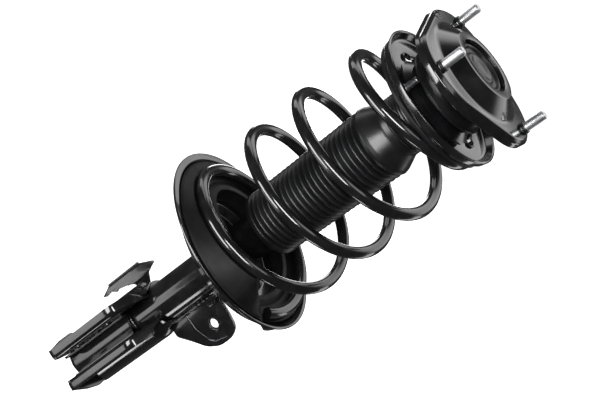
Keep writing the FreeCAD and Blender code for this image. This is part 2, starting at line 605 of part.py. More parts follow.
def make_lower_pad():
    """Moulded pad whose top follows the first coil round, as a ring of lofted sections."""
    inner, shelf, least = (size(f"dim.lower_pad_{part}") for part in ("inner", "shelf", "least"))
    outer = size("dim.pan_radius - dim.pan_lip - dim.lower_pad_clearance")
    depth = size("dim.pan_depth - dim.gap")
    sections = []
    for turn in range(0, 360, PAD_STEP):
        across, along = math.cos(math.radians(turn)), math.sin(math.radians(turn))
        reach = outer + size("dim.pan_x") * across + size("dim.pan_y") * along
        crest = pad_crest(turn)
        inside_floor = pan_height(inner * across, inner * along, depth)
        outside_floor = pan_height(reach * across, reach * along, depth)
        profile = [(inner, inside_floor), (reach, outside_floor), (reach, outside_floor + least / 2),
                   (min(shelf, reach), max(crest, outside_floor + least)),
                   (inner, max(crest, inside_floor + least))]
        points = [Vector(r * across, r * along, height) for r, height in profile]
        sections.append(Part.makePolygon(points + points[:1]))
    pad = doc.addObject("Part::Feature", "lower_spring_pad")
    pad.Shape = Part.makeLoft(sections, True, True, True)
    pad.Placement = Placement()
    named(pad, "lower_spring_pad")


# --- brackets on the tube --------------------------------------------------------------------


def make_knuckle_bracket():
    """Pressed clamp: a wrap round the tube and two ears with turned-out lips."""
    low, gauge = "dim.bracket_bottom", "dim.bracket_gauge"
    height = "(dim.bracket_top - dim.bracket_bottom)"
    pieces = [cylinder("bracket_wrap", f"dim.tube_radius + dim.gap + {gauge}", height, z=low)]
    for side, name in ((-1, "left"), (1, "right")):
        ear_x = "dim.ear_gap / 2" if side > 0 else f"-dim.ear_gap / 2 - {gauge}"
        lip_x = "dim.ear_gap / 2" if side > 0 else "-dim.ear_gap / 2 - dim.lip_width"
        pieces.append(box(f"ear_{name}", ear_x, "-dim.ear_reach", low, gauge,
                          "dim.ear_reach - dim.ear_root", height))
        pieces.append(box(f"lip_{name}", lip_x, "-dim.ear_reach", low, "dim.lip_width", gauge,
                          "dim.lip_top - dim.bracket_bottom"))
    tools = [tube_space("bracket_bore"), ear_slope(),
             box("bracket_gap", "-dim.ear_gap / 2", "-2 * dim.ear_reach", f"{low} - 1", "dim.ear_gap",
                 "2 * dim.ear_reach", f"{height} + 2")]
    for name, level in (("upper", "dim.upper_bore_level"), ("lower", "dim.lower_bore_level")):
        tools.append(cylinder(f"{name}_bore", "dim.knuckle_bore_radius", "4 * dim.ear_gap",
                              "-2 * dim.ear_gap", "-dim.knuckle_bore_reach", level, ALONG_X))
    bracket = cut("knuckle_clamp", fused("knuckle_clamp_whole", pieces), tools)
    named(turned_about_axis(bracket, "knuckle_bracket_turned"), "knuckle_bracket")


def tube_space(name, extra="0", top="dim.bracket_top + dim.ear_reach * 2"):
    """Cylinder of the damper tube with a little air round it, reaching up to the given height."""
    low = "dim.tube_bottom - dim.ear_reach"
    return cylinder(name, f"dim.tube_radius + dim.gap + {extra}", f"{top} - ({low})", z=low)


def ear_slope():
    """Prism that takes the upper front corner off both ears."""
    body = doc.addObject("PartDesign::Body", "ear_slope")
    sketch = attached_sketch(body, "YZ_Plane")
    front, top = "-dim.ear_reach - 2", "dim.bracket_top + 1"
    draw_polygon(sketch, [(front, "dim.lip_top"), ("-dim.tube_radius", top), (front, top)])
    pad = body.newObject("PartDesign::Pad", "ear_slope_pad")
    pad.Profile = sketch
    pad.Midplane = True
    bind(pad, Length="4 * dim.ear_gap")
    body.Tip = pad
    return body


def turned_about_axis(thing, name):
    """The same shape, turned about the strut axis by the angle of the knuckle ears."""
    holder = doc.addObject("Part::Compound", name)
    holder.Links = [thing]
    holder.Placement = Placement(Vector(), Rotation(Vector(0, 0, 1), size("dim.bracket_turn")))
    return holder


def make_bracket_stiffener():
    """Curved plate that closes the front of the tube between the ears."""
    low, height = "dim.stiffener_bottom", "dim.stiffener_top - dim.stiffener_bottom"
    shell = cylinder("stiffener_shell", "dim.tube_radius + dim.gap + dim.bracket_gauge", height, z=low)
    tube = cut("stiffener_tube", shell, [tube_space("stiffener_bore")])
    window = box("stiffener_window", "-dim.ear_gap / 2 + dim.gap", "-dim.ear_reach", f"{low} - 1",
                 "dim.ear_gap - 2 * dim.gap", "dim.ear_reach", f"{height} + 2")
    plate = doc.addObject("Part::Common", "stiffener_plate")
    plate.Base, plate.Tool = tube, window
    named(turned_about_axis(plate, "bracket_stiffener_turned"), "bracket_stiffener")


def make_link_bracket():
    """Flat eye for the stabiliser link, on a web that is welded to the tube."""
    thick, front = "dim.link_gauge", "-dim.link_gauge / 2"
    eye = cylinder("link_eye", "dim.link_eye_radius", thick, "dim.link_x", front, "dim.link_level", ALONG_Y)
    body = doc.addObject("PartDesign::Body", "link_web")
    sketch = attached_sketch(body, "XZ_Plane")
    root, eye_radius = "dim.tube_radius - 1", "dim.link_eye_radius"
    draw_polygon(sketch, [
        (root, "dim.link_root_top"), ("dim.link_x", f"dim.link_level + {eye_radius} - dim.gap"),
        ("dim.link_x", "dim.link_level"),
        (f"dim.link_x + {eye_radius} * cos(39)", f"dim.link_level - {eye_radius} * sin(41)"),
        (f"dim.link_x + {eye_radius} / 3", f"dim.link_level - {eye_radius} - dim.link_chin"),
        ("dim.link_toe_x", "dim.link_toe_level"), (root, "dim.link_toe_level")])
    pad = body.newObject("PartDesign::Pad", "link_web_pad")
    pad.Profile = sketch
    pad.Midplane = True
    bind(pad, Length=thick)
    body.Tip = pad
    tools = [tube_space("link_tube_gap"),
             tube_space("link_clamp_gap", "dim.bracket_gauge + dim.gap", "(dim.bracket_top + dim.gap)"),
             cylinder("link_bore", "dim.link_bore_radius", f"8 * {thick}", "dim.link_x", f"-4 * {thick}",
                      "dim.link_level", ALONG_Y)]
    named(cut("link_bracket", fused("link_whole", [eye, body]), tools), "stabiliser_link_bracket")


def make_hose_bracket():
    """Thin T-shaped plate for the brake hose clip, with one edge turned back."""
    plate = doc.addObject("PartDesign::Body", "hose_plate")
    sketch = attached_sketch(plate, "XZ_Plane")
    edge, mid, half, arm = "dim.hose_edge_x", "dim.hose_level", "dim.hose_half_height", "dim.hose_arm"
    foot = "-dim.tube_radius - dim.bracket_gauge - 2 * dim.gap"
    draw_polygon(sketch, [
        (foot, f"{mid} + {arm}"), (f"{edge} + {arm}", f"{mid} + {half} - 6"),
        (f"{edge} + {arm} / 2", f"{mid} + {half} + 6"), (f"{edge} + {arm} / 2", f"{mid} + {half} + {arm}"),
        (edge, f"{mid} + {half}"), (edge, f"{mid} - {half}"),
        (f"{edge} + {arm} / 2", f"{mid} - {half} - {arm}"), (f"{edge} + {arm} / 2", f"{mid} - {half} + 6"),
        (f"{edge} + {arm}", f"{mid} - {arm} / 2"), (foot, f"{mid} - {arm} / 4")])
    pad = plate.newObject("PartDesign::Pad", "hose_plate_pad")
    pad.Profile = sketch
    pad.Midplane = True
    bind(pad, Length="dim.hose_gauge")
    plate.Tip = pad
    flange = box("hose_flange", edge, "0", f"{mid} - {half}", "dim.hose_gauge", "dim.hose_flange",
                 f"2 * {half}")
    named(fused("hose_bracket_whole", [plate, flange]), "hose_bracket")


def check_and_export():
    """Stop on any failed object, then write one file for each sub-part."""
    doc.recompute()
    bad = [o.Name for o in doc.Objects if "Invalid" in o.State or "Error" in o.State]
    if bad:
        raise RuntimeError(f"objects failed: {bad}")
    os.makedirs("parts", exist_ok=True)
    for node in nodes:
        shape = node.Shape
        if shape.isNull() or not shape.isValid() or not shape.Solids:
            raise RuntimeError(f"{node.Label} has no valid solid")
        shape.exportStep(f"parts/{node.Label}.step")


def main():
    fill_sheet()
    make_mount_plate()
    make_tower_studs()
    make_mount_core()
    make_bump_stop()
    make_bearing()
    make_upper_seat()
    make_spring()
    make_boot()
    make_rod()
    make_damper_tube()
    make_lower_seat()
    make_lower_pad()
    make_knuckle_bracket()
    make_bracket_stiffener()
    make_link_bracket()
    make_hose_bracket()
    check_and_export()


main()
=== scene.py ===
"""Strut assembly: detailed pieces, finishes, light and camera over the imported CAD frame.

The frame is in metres. Shapes here are written in millimetres and scaled once, in skin().
The strut axis is Z through the origin, and the knuckle ears point towards -Y.
"""
import json
import math

import bmesh
import bpy
from mathutils import Matrix, Vector


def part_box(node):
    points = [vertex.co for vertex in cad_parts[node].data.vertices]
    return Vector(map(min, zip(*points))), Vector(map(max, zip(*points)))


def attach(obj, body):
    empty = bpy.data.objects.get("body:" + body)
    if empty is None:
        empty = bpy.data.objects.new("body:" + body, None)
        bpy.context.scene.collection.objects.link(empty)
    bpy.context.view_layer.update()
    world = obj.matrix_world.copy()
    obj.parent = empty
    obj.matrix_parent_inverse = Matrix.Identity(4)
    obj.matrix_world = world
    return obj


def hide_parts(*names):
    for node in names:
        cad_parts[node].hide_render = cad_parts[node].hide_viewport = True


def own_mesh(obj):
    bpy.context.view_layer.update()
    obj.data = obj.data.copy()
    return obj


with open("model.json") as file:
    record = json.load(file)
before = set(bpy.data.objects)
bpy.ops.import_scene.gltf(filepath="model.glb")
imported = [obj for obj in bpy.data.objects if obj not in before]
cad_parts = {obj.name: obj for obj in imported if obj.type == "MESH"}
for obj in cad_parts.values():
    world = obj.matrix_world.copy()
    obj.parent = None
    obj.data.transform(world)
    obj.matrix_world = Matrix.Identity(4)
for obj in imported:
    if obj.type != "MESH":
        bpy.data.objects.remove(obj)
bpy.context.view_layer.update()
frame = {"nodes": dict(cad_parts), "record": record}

MM = 0.001
TURN = 2 * math.pi


# --- reading the frame -----------------------------------------------------------------------


def low(node):
    """Lowest corner of a CAD node, in millimetres."""
    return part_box(node)[0] / MM


def high(node):
    """Highest corner of a CAD node, in millimetres."""
    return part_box(node)[1] / MM


def mount(name):
    """The record's mount of that name."""
    return next(m for m in frame["record"]["mounts"] if m["name"] == name)


# --- outlines --------------------------------------------------------------------------------


def rounded(corners, steps=5, closed=True):
    """Outline whose corners (u, v, radius) are turned into arcs of a fixed number of points."""
    points = []
    count = len(corners)
    for i, (u, v, radius) in enumerate(corners):
        here = Vector((u, v))
        if radius <= 0 or (not closed and i in (0, count - 1)):
            points.append(here)
            continue
        before = Vector(corners[i - 1][:2]) - here
        after = Vector(corners[(i + 1) % count][:2]) - here
        points.extend(fillet(here, before, after, radius, steps))
    return points


def fillet(corner, before, after, radius, steps):
    """Points of the arc that rounds a corner between two directions."""
    half = before.angle(after) / 2
    reach = min(radius / math.tan(half), 0.49 * before.length, 0.49 * after.length)
    start = corner + before.normalized() * reach
    end = corner + after.normalized() * reach
    points = []
    for step in range(steps + 1):
        t = step / steps
        points.append(start * (1 - t) ** 2 + corner * 2 * t * (1 - t) + end * t ** 2)
    return points


def rounded_triangle(angle, side, lobe):
    """Polar radius of a rounded triangle: its flat sides' distance and its lobes' reach."""
    reach = 2 * side
    corner = reach - lobe
    middle = lobe - corner
    off = abs((angle + TURN / 6) % (TURN / 3) - TURN / 6)
    tangent = math.atan2(corner * math.sin(TURN / 6), middle + corner * math.cos(TURN / 6))
    if off > tangent:
        return side / math.cos(TURN / 6 - off)
    return middle * math.cos(off) + math.sqrt(corner ** 2 - (middle * math.sin(off)) ** 2)


def smooth_step(value, start, end):
    """Share from 0 to 1 as a value runs from start to end, easing at both."""
    t = min(max((value - start) / (end - start), 0.0), 1.0)
    return t * t * (3 - 2 * t)


# --- meshes ----------------------------------------------------------------------------------


def skin(name, rows, around=True, along=True, ends=False):
    """Mesh through rows of points in millimetres, closed around the rows and along each row."""
    mesh = bpy.data.meshes.new(name)
    form = bmesh.new()
    grid = [[form.verts.new(Vector(p) * MM) for p in row] for row in rows]
    row_count, point_count = len(grid), len(grid[0])
    for i in range(row_count if around else row_count - 1):
        for j in range(point_count if along else point_count - 1):
            near, far = grid[i], grid[(i + 1) % row_count]
            k = (j + 1) % point_count
            form.faces.new((near[j], far[j], far[k], near[k]))
    if ends:
        form.faces.new(grid[0])
        form.faces.new(reversed(grid[-1]))
    bmesh.ops.remove_doubles(form, verts=form.verts, dist=0.02 * MM)
    bmesh.ops.recalc_face_normals(form, faces=form.faces)
    form.to_mesh(mesh)
    form.free()
    piece = bpy.data.objects.new(name, mesh)
    bpy.context.scene.collection.objects.link(piece)
    soften(piece)
    return piece


def soften(piece, angle=38):
    """Smooth shading with edges over the angle kept sharp."""
    piece.data.shade_smooth()
    piece.data.set_sharp_from_angle(angle=math.radians(angle))


def polar(radius, angle, height):
    """Point at a radius, an angle and a height about the strut axis."""
    return Vector((radius * math.cos(angle), radius * math.sin(angle), height))


def lathe(name, profile, steps=144, closed=True, middle=(0, 0)):
    """Half section of (radius, height) points, turned about an upright axis: the strut's, if not said."""
    axis = Vector((*middle, 0))
    rows = [[axis + polar(r, TURN * i / steps, z) for r, z in profile] for i in range(steps)]
    return skin(name, rows, along=closed)


def swept(name, section, steps, place=polar, start=0):
    """Closed skin of a section that changes with the angle about the strut axis."""
    rows = []
    for i in range(steps):
        angle = start + TURN * i / steps
        rows.append([place(r, angle, z) for r, z in section(angle)])
    return skin(name, rows)


def tube(name, line, radius, sides=20, closed=False):
    """Round bar along a line of points, its ends closed flat."""
    rows = []
    side = None
    for i, point in enumerate(line):
        ahead = line[(i + 1) % len(line)] if closed else line[min(i + 1, len(line) - 1)]
        behind = line[i - 1] if closed else line[max(i - 1, 0)]
        direction = (ahead - behind).normalized()
        if side is None:
            side = direction.orthogonal().normalized()
        side = (side - direction * side.dot(direction)).normalized()
        other = direction.cross(side)
        r = radius(i) if callable(radius) else radius
        rows.append([point + (side * math.cos(TURN * k / sides) + other * math.sin(TURN * k / sides)) * r
                     for k in range(sides)])
    return skin(name, rows, around=closed, ends=not closed)


def joined(name, pieces):
    """One object made of several, which are removed."""
    form = bmesh.new()
    for piece in pieces:
        form.from_mesh(piece.data)
        bpy.data.objects.remove(piece)
    mesh = bpy.data.meshes.new(name)
    form.to_mesh(mesh)
    form.free()
    whole = bpy.data.objects.new(name, mesh)
    bpy.context.scene.collection.objects.link(whole)
    soften(whole)
    return whole


def applied(piece):
    """The piece with its modifiers made part of its mesh."""
    graph = bpy.context.evaluated_depsgraph_get()
    graph.update()
    mesh = bpy.data.meshes.new_from_object(piece.evaluated_get(graph))
    piece.modifiers.clear()
    piece.data = mesh
    return piece


def cut_out(piece, tools):
    """The piece less the tools, which are removed."""
    for tool in tools:
        step = piece.modifiers.new("cut", "BOOLEAN")
        step.operation = "DIFFERENCE"
        step.solver = "EXACT"
        step.object = tool
    applied(piece)
    for tool in tools:
        bpy.data.objects.remove(tool)
    return piece


def bevelled(piece, width, segments=3, angle=35):
    """Edges over the angle rounded to the width, in millimetres."""
    step = piece.modifiers.new("bevel", "BEVEL")
    step.width = width * MM
    step.segments = segments
    step.limit_method = "ANGLE"
    step.angle_limit = math.radians(angle)
    step.harden_normals = False
    applied(piece)
    soften(piece)
    return piece


def rod(name, start, end, radius, sides=32):
    """Plain round tool for cutting holes."""
    return tube(name, [Vector(start), Vector(end)], radius, sides)


def pressing(name, outline, origin, across, thickness):
    """Flat plate: an outline of (u, z) points, where u runs from the origin along a level direction."""
    across = Vector(across).normalized()
    side = across.cross(Vector((0, 0, 1))) * thickness / 2
    rows = [[Vector(origin) + across * u + Vector((0, 0, z)) + side * sign for u, z in outline]
            for sign in (-1, 1)]
    return skin(name, rows, around=False, ends=True)


def weld(name, line, radius=1.7):
    """Weld bead along a line, with the ripples that a travelling arc leaves."""
    path = [a.lerp(b, k / 6) for a, b in zip(line, line[1:]) for k in range(6)] + [line[-1]]
    count = len(path) - 1
    return tube(name, path, lambda i: radius * (0.55 + 0.45 * math.sin(math.pi * i / count) ** 0.4
                                                + 0.04 * math.sin(1.6 * i)), 12)


def stands_for(piece, body, slot, *nodes):
    """Ride on a body, take the finish of a slot, and hide the CAD nodes that the piece replaces."""
    piece.data.materials.clear()
    piece.data.materials.append(FINISHES[slot])
    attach(piece, body)
    if nodes:
        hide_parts(*nodes)
    return piece


# --- materials -------------------------------------------------------------------------------


class Finish:
    """A Principled material whose colour, roughness and relief vary over object space."""

    def __init__(self, name, colour, roughness, **sockets):
        self.material = bpy.data.materials.new(name)
        self.material.use_nodes = True
        self.nodes = self.material.node_tree.nodes
        self.links = self.material.node_tree.links
        self.shader = self.nodes["Principled BSDF"]
        self.shader.inputs["Base Color"].default_value = (*colour, 1)
        self.shader.inputs["Roughness"].default_value = roughness
        for socket, value in sockets.items():
            self.shader.inputs[socket.replace("_", " ")].default_value = value
        self.place = self.nodes.new("ShaderNodeTexCoord").outputs["Object"]
        self.relief = None

    def pattern(self, scale, detail=3.0, stretch=(1, 1, 1), kind="ShaderNodeTexNoise"):
        """Value pattern in object space; scale is in cells per metre."""
        texture = self.nodes.new(kind)
        texture.inputs["Scale"].default_value = scale
        if "Detail" in texture.inputs:
            texture.inputs["Detail"].default_value = detail
        spread = self.nodes.new("ShaderNodeMapping")
        spread.inputs["Scale"].default_value = stretch
        self.links.new(self.place, spread.inputs["Vector"])
        self.links.new(spread.outputs["Vector"], texture.inputs["Vector"])
        return texture.outputs["Fac" if kind == "ShaderNodeTexNoise" else "Distance"]

    def spread(self, source, start, end, out_low, out_high):
        """Map a pattern from one range to another."""
        node = self.nodes.new("ShaderNodeMapRange")
        limits = {"From Min": start, "From Max": end, "To Min": out_low, "To Max": out_high}
        for name, value in limits.items():
            node.inputs[name].default_value = value
        self.links.new(source, node.inputs["Value"])
        return node.outputs["Result"]

    def rough(self, source, start, end, out_low, out_high):
        self.links.new(self.spread(source, start, end, out_low, out_high), self.shader.inputs["Roughness"])

    def tint(self, source, start, end, first, second):
        """Base colour that runs between two colours with a pattern."""
        ramp = self.nodes.new("ShaderNodeValToRGB")
        ramp.color_ramp.elements[0].color = (*first, 1)
        ramp.color_ramp.elements[1].color = (*second, 1)
        self.links.new(self.spread(source, start, end, 0, 1), ramp.inputs["Fac"])
        self.links.new(ramp.outputs["Color"], self.shader.inputs["Base Color"])

    def bump(self, source, depth, strength=1.0):
        """Relief of a depth in millimetres, stacked on any relief already there."""
        node = self.nodes.new("ShaderNodeBump")
        node.inputs["Distance"].default_value = depth * MM
        node.inputs["Strength"].default_value = strength
        self.links.new(source, node.inputs["Height"])
        if self.relief is not None:
            self.links.new(self.relief, node.inputs["Normal"])
        self.relief = node.outputs["Normal"]
        self.links.new(self.relief, self.shader.inputs["Normal"])


def painted(name, colour, dust):
    """Gloss black paint: faint orange peel, a soft change of gloss and a trace of dust."""
    finish = Finish(name, colour, 0.16, Coat_Weight=0.6, Coat_Roughness=0.05, Specular_IOR_Level=0.5)
    finish.rough(finish.pattern(24, 4), 0.35, 0.7, 0.12, 0.24)
    finish.tint(finish.pattern(60, 6), 0.45, 0.8, colour, dust)
    finish.bump(finish.pattern(700, 2), 0.003)
    finish.bump(finish.pattern(90, 2), 0.012)
    return finish.material


def metal(name, colour, dark, roughness, stretch=(1, 1, 1), grain=1500):
    """Bare or plated metal with a drawn or turned grain."""
    finish = Finish(name, colour, roughness, Metallic=1.0)
    finish.rough(finish.pattern(grain * 0.3, 4, stretch), 0.3, 0.7, roughness * 0.7, roughness * 1.4)
    finish.tint(finish.pattern(90, 5), 0.35, 0.75, colour, dark)
    finish.bump(finish.pattern(grain, 2, stretch), 0.002)
    return finish.material


def moulded(name, colour, pale, roughness, grain, depth, specular=0.5):
    """Moulded rubber or plastic: fine grain, cloudy colour and patchy sheen."""
    finish = Finish(name, colour, roughness, Specular_IOR_Level=specular)
    finish.rough(finish.pattern(45, 5), 0.3, 0.75, roughness * 0.85, roughness * 1.2)
    finish.tint(finish.pattern(70, 6), 0.4, 0.8, colour, pale)
    finish.bump(finish.pattern(grain, 3), depth)
    return finish.material


def foam(name, colour, dark):
    """Cellular stop foam with open pores."""
    finish = Finish(name, colour, 0.8, Specular_IOR_Level=0.3)
    finish.tint(finish.pattern(300, 4), 0.3, 0.7, dark, colour)
    finish.bump(finish.pattern(1100, 1, kind="ShaderNodeTexVoronoi"), 0.12)
    return finish.material


FINISHES = {
    "black_paint": painted("black_paint", (0.0045, 0.0045, 0.0050), (0.012, 0.012, 0.013)),
    "spring_paint": painted("spring_paint", (0.0050, 0.0050, 0.0055), (0.012, 0.012, 0.013)),
    "zinc_steel": metal("zinc_steel", (0.80, 0.81, 0.82), (0.66, 0.67, 0.68), 0.42, (1, 1, 0.2), 200),
    "dull_zinc": metal("dull_zinc", (0.42, 0.43, 0.44), (0.25, 0.26, 0.27), 0.38),
    "chrome_rod": metal("chrome_rod", (0.78, 0.79, 0.80), (0.70, 0.71, 0.72), 0.08, (0.2, 0.2, 1)),
    "plain_steel": metal("plain_steel", (0.45, 0.45, 0.46), (0.28, 0.28, 0.29), 0.34, (0.3, 0.3, 1)),
    "bearing_steel": metal("bearing_steel", (0.60, 0.60, 0.62), (0.48, 0.48, 0.50), 0.15, (0.3, 0.3, 1)),
    "bronze": metal("bronze", (0.55, 0.40, 0.22), (0.36, 0.25, 0.13), 0.30),
    "mount_rubber": moulded("mount_rubber", (0.010, 0.010, 0.010), (0.020, 0.020, 0.020), 0.55, 1400, 0.05),
    "pad_rubber": moulded("pad_rubber", (0.0050, 0.0050, 0.0055), (0.010, 0.010, 0.011), 0.48, 1200, 0.02,
                          0.18),
    "boot_rubber": moulded("boot_rubber", (0.0060, 0.0060, 0.0065), (0.012, 0.012, 0.013), 0.33, 1300, 0.002),
    "seal_rubber": moulded("seal_rubber", (0.020, 0.018, 0.017), (0.032, 0.030, 0.028), 0.50, 1200, 0.04),
    "black_plastic": moulded("black_plastic", (0.0070, 0.0070, 0.0075), (0.014, 0.014, 0.015), 0.30, 1000,
                             0.02),
    "cage_plastic": moulded("cage_plastic", (0.62, 0.58, 0.48), (0.50, 0.46, 0.37), 0.45, 900, 0.03),
    "stop_foam": foam("stop_foam", (0.70, 0.62, 0.38), (0.42, 0.35, 0.18)),
}


def finish_cad_nodes():
    """Give every carried-over CAD node the finish of its slot."""
    for subpart in frame["record"]["subparts"]:
        slots = frame["nodes"][subpart["node"]].material_slots
        for entry in slots:
            entry.material = FINISHES[subpart["material_slot"]]


# --- top mount -------------------------------------------------------------------------------

GAUGE = 3.5
FLANGE_TOP = -0.4
BULGE_LEVEL = -4.2
BORE_FLOOR = 22.0
CUP_BORE = high("dust_cap").x
CUP_TOP = high("mount_plate").z
CUP_FLOOR = low("mount_plate").z
SKIRT_FOOT = -12.0
CUP_RIM = 41.0
STUD_CIRCLE = 77.3
STUD_TURN = math.radians(12.5)
EDGE_SIDE, EDGE_LOBE = 67.0, 85.2
BULGE_SIDE, BULGE_LOBE = 70.4, 89.2
HEM_SIDE, HEM_LOBE = 72.4, 87.8
CONE_FOOT = 60.0


def plate_section(angle):
    """Section of the pressed mount plate at an angle: cup, cone, flange, bend and flared skirt."""
    edge, bulge, hem = (rounded_triangle(angle - STUD_TURN, side, lobe) for side, lobe in (
        (EDGE_SIDE, EDGE_LOBE), (BULGE_SIDE, BULGE_LOBE), (HEM_SIDE, HEM_LOBE)))
    return rounded([
        (BORE_FLOOR, CUP_FLOOR + GAUGE, 0.5), (CUP_BORE, CUP_FLOOR + GAUGE, 2), (CUP_BORE, CUP_TOP, 1.2),
        (CUP_RIM, CUP_TOP, 1.6), (CONE_FOOT, FLANGE_TOP, 9), (edge - 1.5, FLANGE_TOP, 1.2),
        (edge, FLANGE_TOP - 0.5, 0.8), (bulge, BULGE_LEVEL, 2.6), (bulge - 0.6, BULGE_LEVEL - 3.2, 2.2),
        (hem, SKIRT_FOOT + 0.6, 1.2), (hem - 1, SKIRT_FOOT, 0.5), (hem - GAUGE, SKIRT_FOOT, 0.9),
        (bulge - GAUGE - 0.6, BULGE_LEVEL - GAUGE, 2), (edge - 2, FLANGE_TOP - GAUGE, 2),
        (CONE_FOOT + 1, FLANGE_TOP - GAUGE, 2), (CUP_RIM - 2, CUP_TOP - GAUGE, 2),
        (CUP_BORE + GAUGE, CUP_TOP - GAUGE, 2), (CUP_BORE + GAUGE, CUP_FLOOR, 2),
        (BORE_FLOOR, CUP_FLOOR, 0.5)])


def make_mount_plate():
    """Pressed plate with an oval dimple on the flange beside the far stud."""
    plate = swept("mount_plate_pressing", plate_section, 240)
    dimple_place = polar(72, math.radians(168), -0.5)
    half_width, half_length, dimple_points = 4.16, 6.76, 32
    oval = []
    for k in range(dimple_points):
        angle = TURN * k / dimple_points
        oval.append(dimple_place + Vector((half_width * math.cos(angle), half_length * math.sin(angle), 0)))
    ring = tube("dimple_ring", oval, 0.7, 10, closed=True)
    stands_for(joined("mount_plate_shell", [plate, ring]), "top_mount", "black_paint", "mount_plate")


def make_stud(name, x, y):
    """Stud with a smooth rolled shank, a chamfered tip and a flat head under the plate."""
    radius, shoulder, head, head_under = 5.0, 5.6, 6.4, -7.4
    top = high("tower_studs").z
    profile = rounded([
        (0, head_under, 0), (head, head_under, 0.4), (head, -3.7, 0.4), (shoulder, -3.6, 0.2),
        (shoulder, 0, 0.2), (radius, 0.8, 0.3), (radius, top - 1.5, 0.5), (radius - 1.4, top, 0.5),
        (0, top, 0)], 4, closed=False)
    return lathe(name, profile, 60, False, (x, y))


def stud_collar(x, y):
    """Dark ringed collar pressed round a stud's root."""
    bore, base, groove, ring = 5.2, 6.7, 6.1, 6.5
    profile = rounded([
        (bore, 0.05, 0), (base, 0.05, 0.3), (base, 1.4, 0.3), (groove, 1.6, 0.1), (groove, 1.9, 0.1),
        (ring, 2.1, 0.2), (ring - 0.2, 3.4, 0.6), (bore, 3.6, 0.2)], 4)
    return lathe("collar", profile, 48, True, (x, y))


def make_tower_studs():
    """Three studs on one circle, each with a dark collar at its root."""
    places = [polar(STUD_CIRCLE, STUD_TURN + TURN * k / 3, 0) for k in range(3)]
    studs = [make_stud(f"stud_{k}", place.x, place.y) for k, place in enumerate(places)]
    stands_for(joined("tower_stud_set", studs), "top_mount", "zinc_steel", "tower_studs")
    collars = [stud_collar(place.x, place.y) for place in places]
    stands_for(joined("tower_stud_collars", collars), "top_mount", "black_plastic")


def make_dust_cap():
    """Snap-in cap: a groove at the bore, a broad ridge inside it and a dished middle."""
    top = high("dust_cap").z
    edge = CUP_BORE - 0.1
    cap = lathe("dust_cap_dish", rounded([
        (0, top - 2.6, 0), (10, top - 2.4, 2), (15.5, top - 0.6, 2.5), (17.5, top - 0.9, 1),
        (20, top - 3.2, 3), (24.5, top - 2.6, 1.5), (26.6, top + 0.6, 1.4), (28.6, top + 0.6, 1.0),
        (29.2, top - 2.4, 0.8), (edge, top - 2.4, 0.4), (edge, -4, 0.4), (edge - 2, -4, 0.4),
        (edge - 2.4, top - 5, 1),
        (20, top - 6, 1), (0, top - 5.2, 0)], closed=False), closed=False)
    stands_for(cap, "top_mount", "black_plastic", "dust_cap")


def make_bearing_housing():
    """Moulded housing with a ribbed wall and a dust lip that hangs round the balls."""
    node_low, node_high = low("bearing_housing"), high("bearing_housing")
    radius, bore, top = node_high.x, CUP_BORE + GAUGE + 0.1, node_high.z
    foot, floor, inner, lip = max(node_low.z, -38.0), -25.6, 29, 4.4
    wall = radius - 1
    housing = lathe("bearing_housing_shell", rounded([
        (inner, floor, 0), (bore, floor, 0.4), (bore, top, 0.8), (wall, top, 1.2),
        (wall, -20, 0.6), (radius, -21, 0.5), (radius, -24, 0.5), (wall, -25, 0.5),
        (wall, foot + 2.5, 0.6), (radius, foot + 1.5, 0.5), (radius - 0.5, foot, 0.5),
        (radius - lip, foot, 0.5), (radius - lip - 0.4, floor - 0.6, 0.8), (inner, floor - 0.6, 0)]))
    stands_for(housing, "top_mount", "black_plastic", "bearing_housing")


def make_seat_pin():
    """Locating pin beside the bearing, with a domed end and a rolled shoulder."""
    base, top = low("seat_pin"), high("seat_pin")
    x, y = (base.x + top.x) / 2, (base.y + top.y) / 2
    shoulder, shank = 4.4, 3.5
    profile = rounded([
        (0, base.z, 0), (shoulder, base.z, 0.4), (shoulder, base.z + 2, 0.8), (shank, base.z + 2.6, 0.6),
        (shank, top.z - 1, 1.2), (0, top.z, 0)], 5, closed=False)
    pin = lathe("seat_pin_turned", profile, 40, False, (x, y))
    stands_for(pin, "upper_seat", "dull_zinc", "seat_pin")


# --- upper seat, pad, boot -------------------------------------------------------------------

SEAT_RIM = high("upper_spring_seat").x
SEAT_TOP = high("upper_spring_seat").z
SEAT_UNDER = low("upper_spring_seat").z
SEAT_GAUGE = 3.0
SEAT_FLOOR = SEAT_UNDER + SEAT_GAUGE
SEAT_HOLE_REACH = 51.0
SEAT_HOLE_RADIUS = 8.0


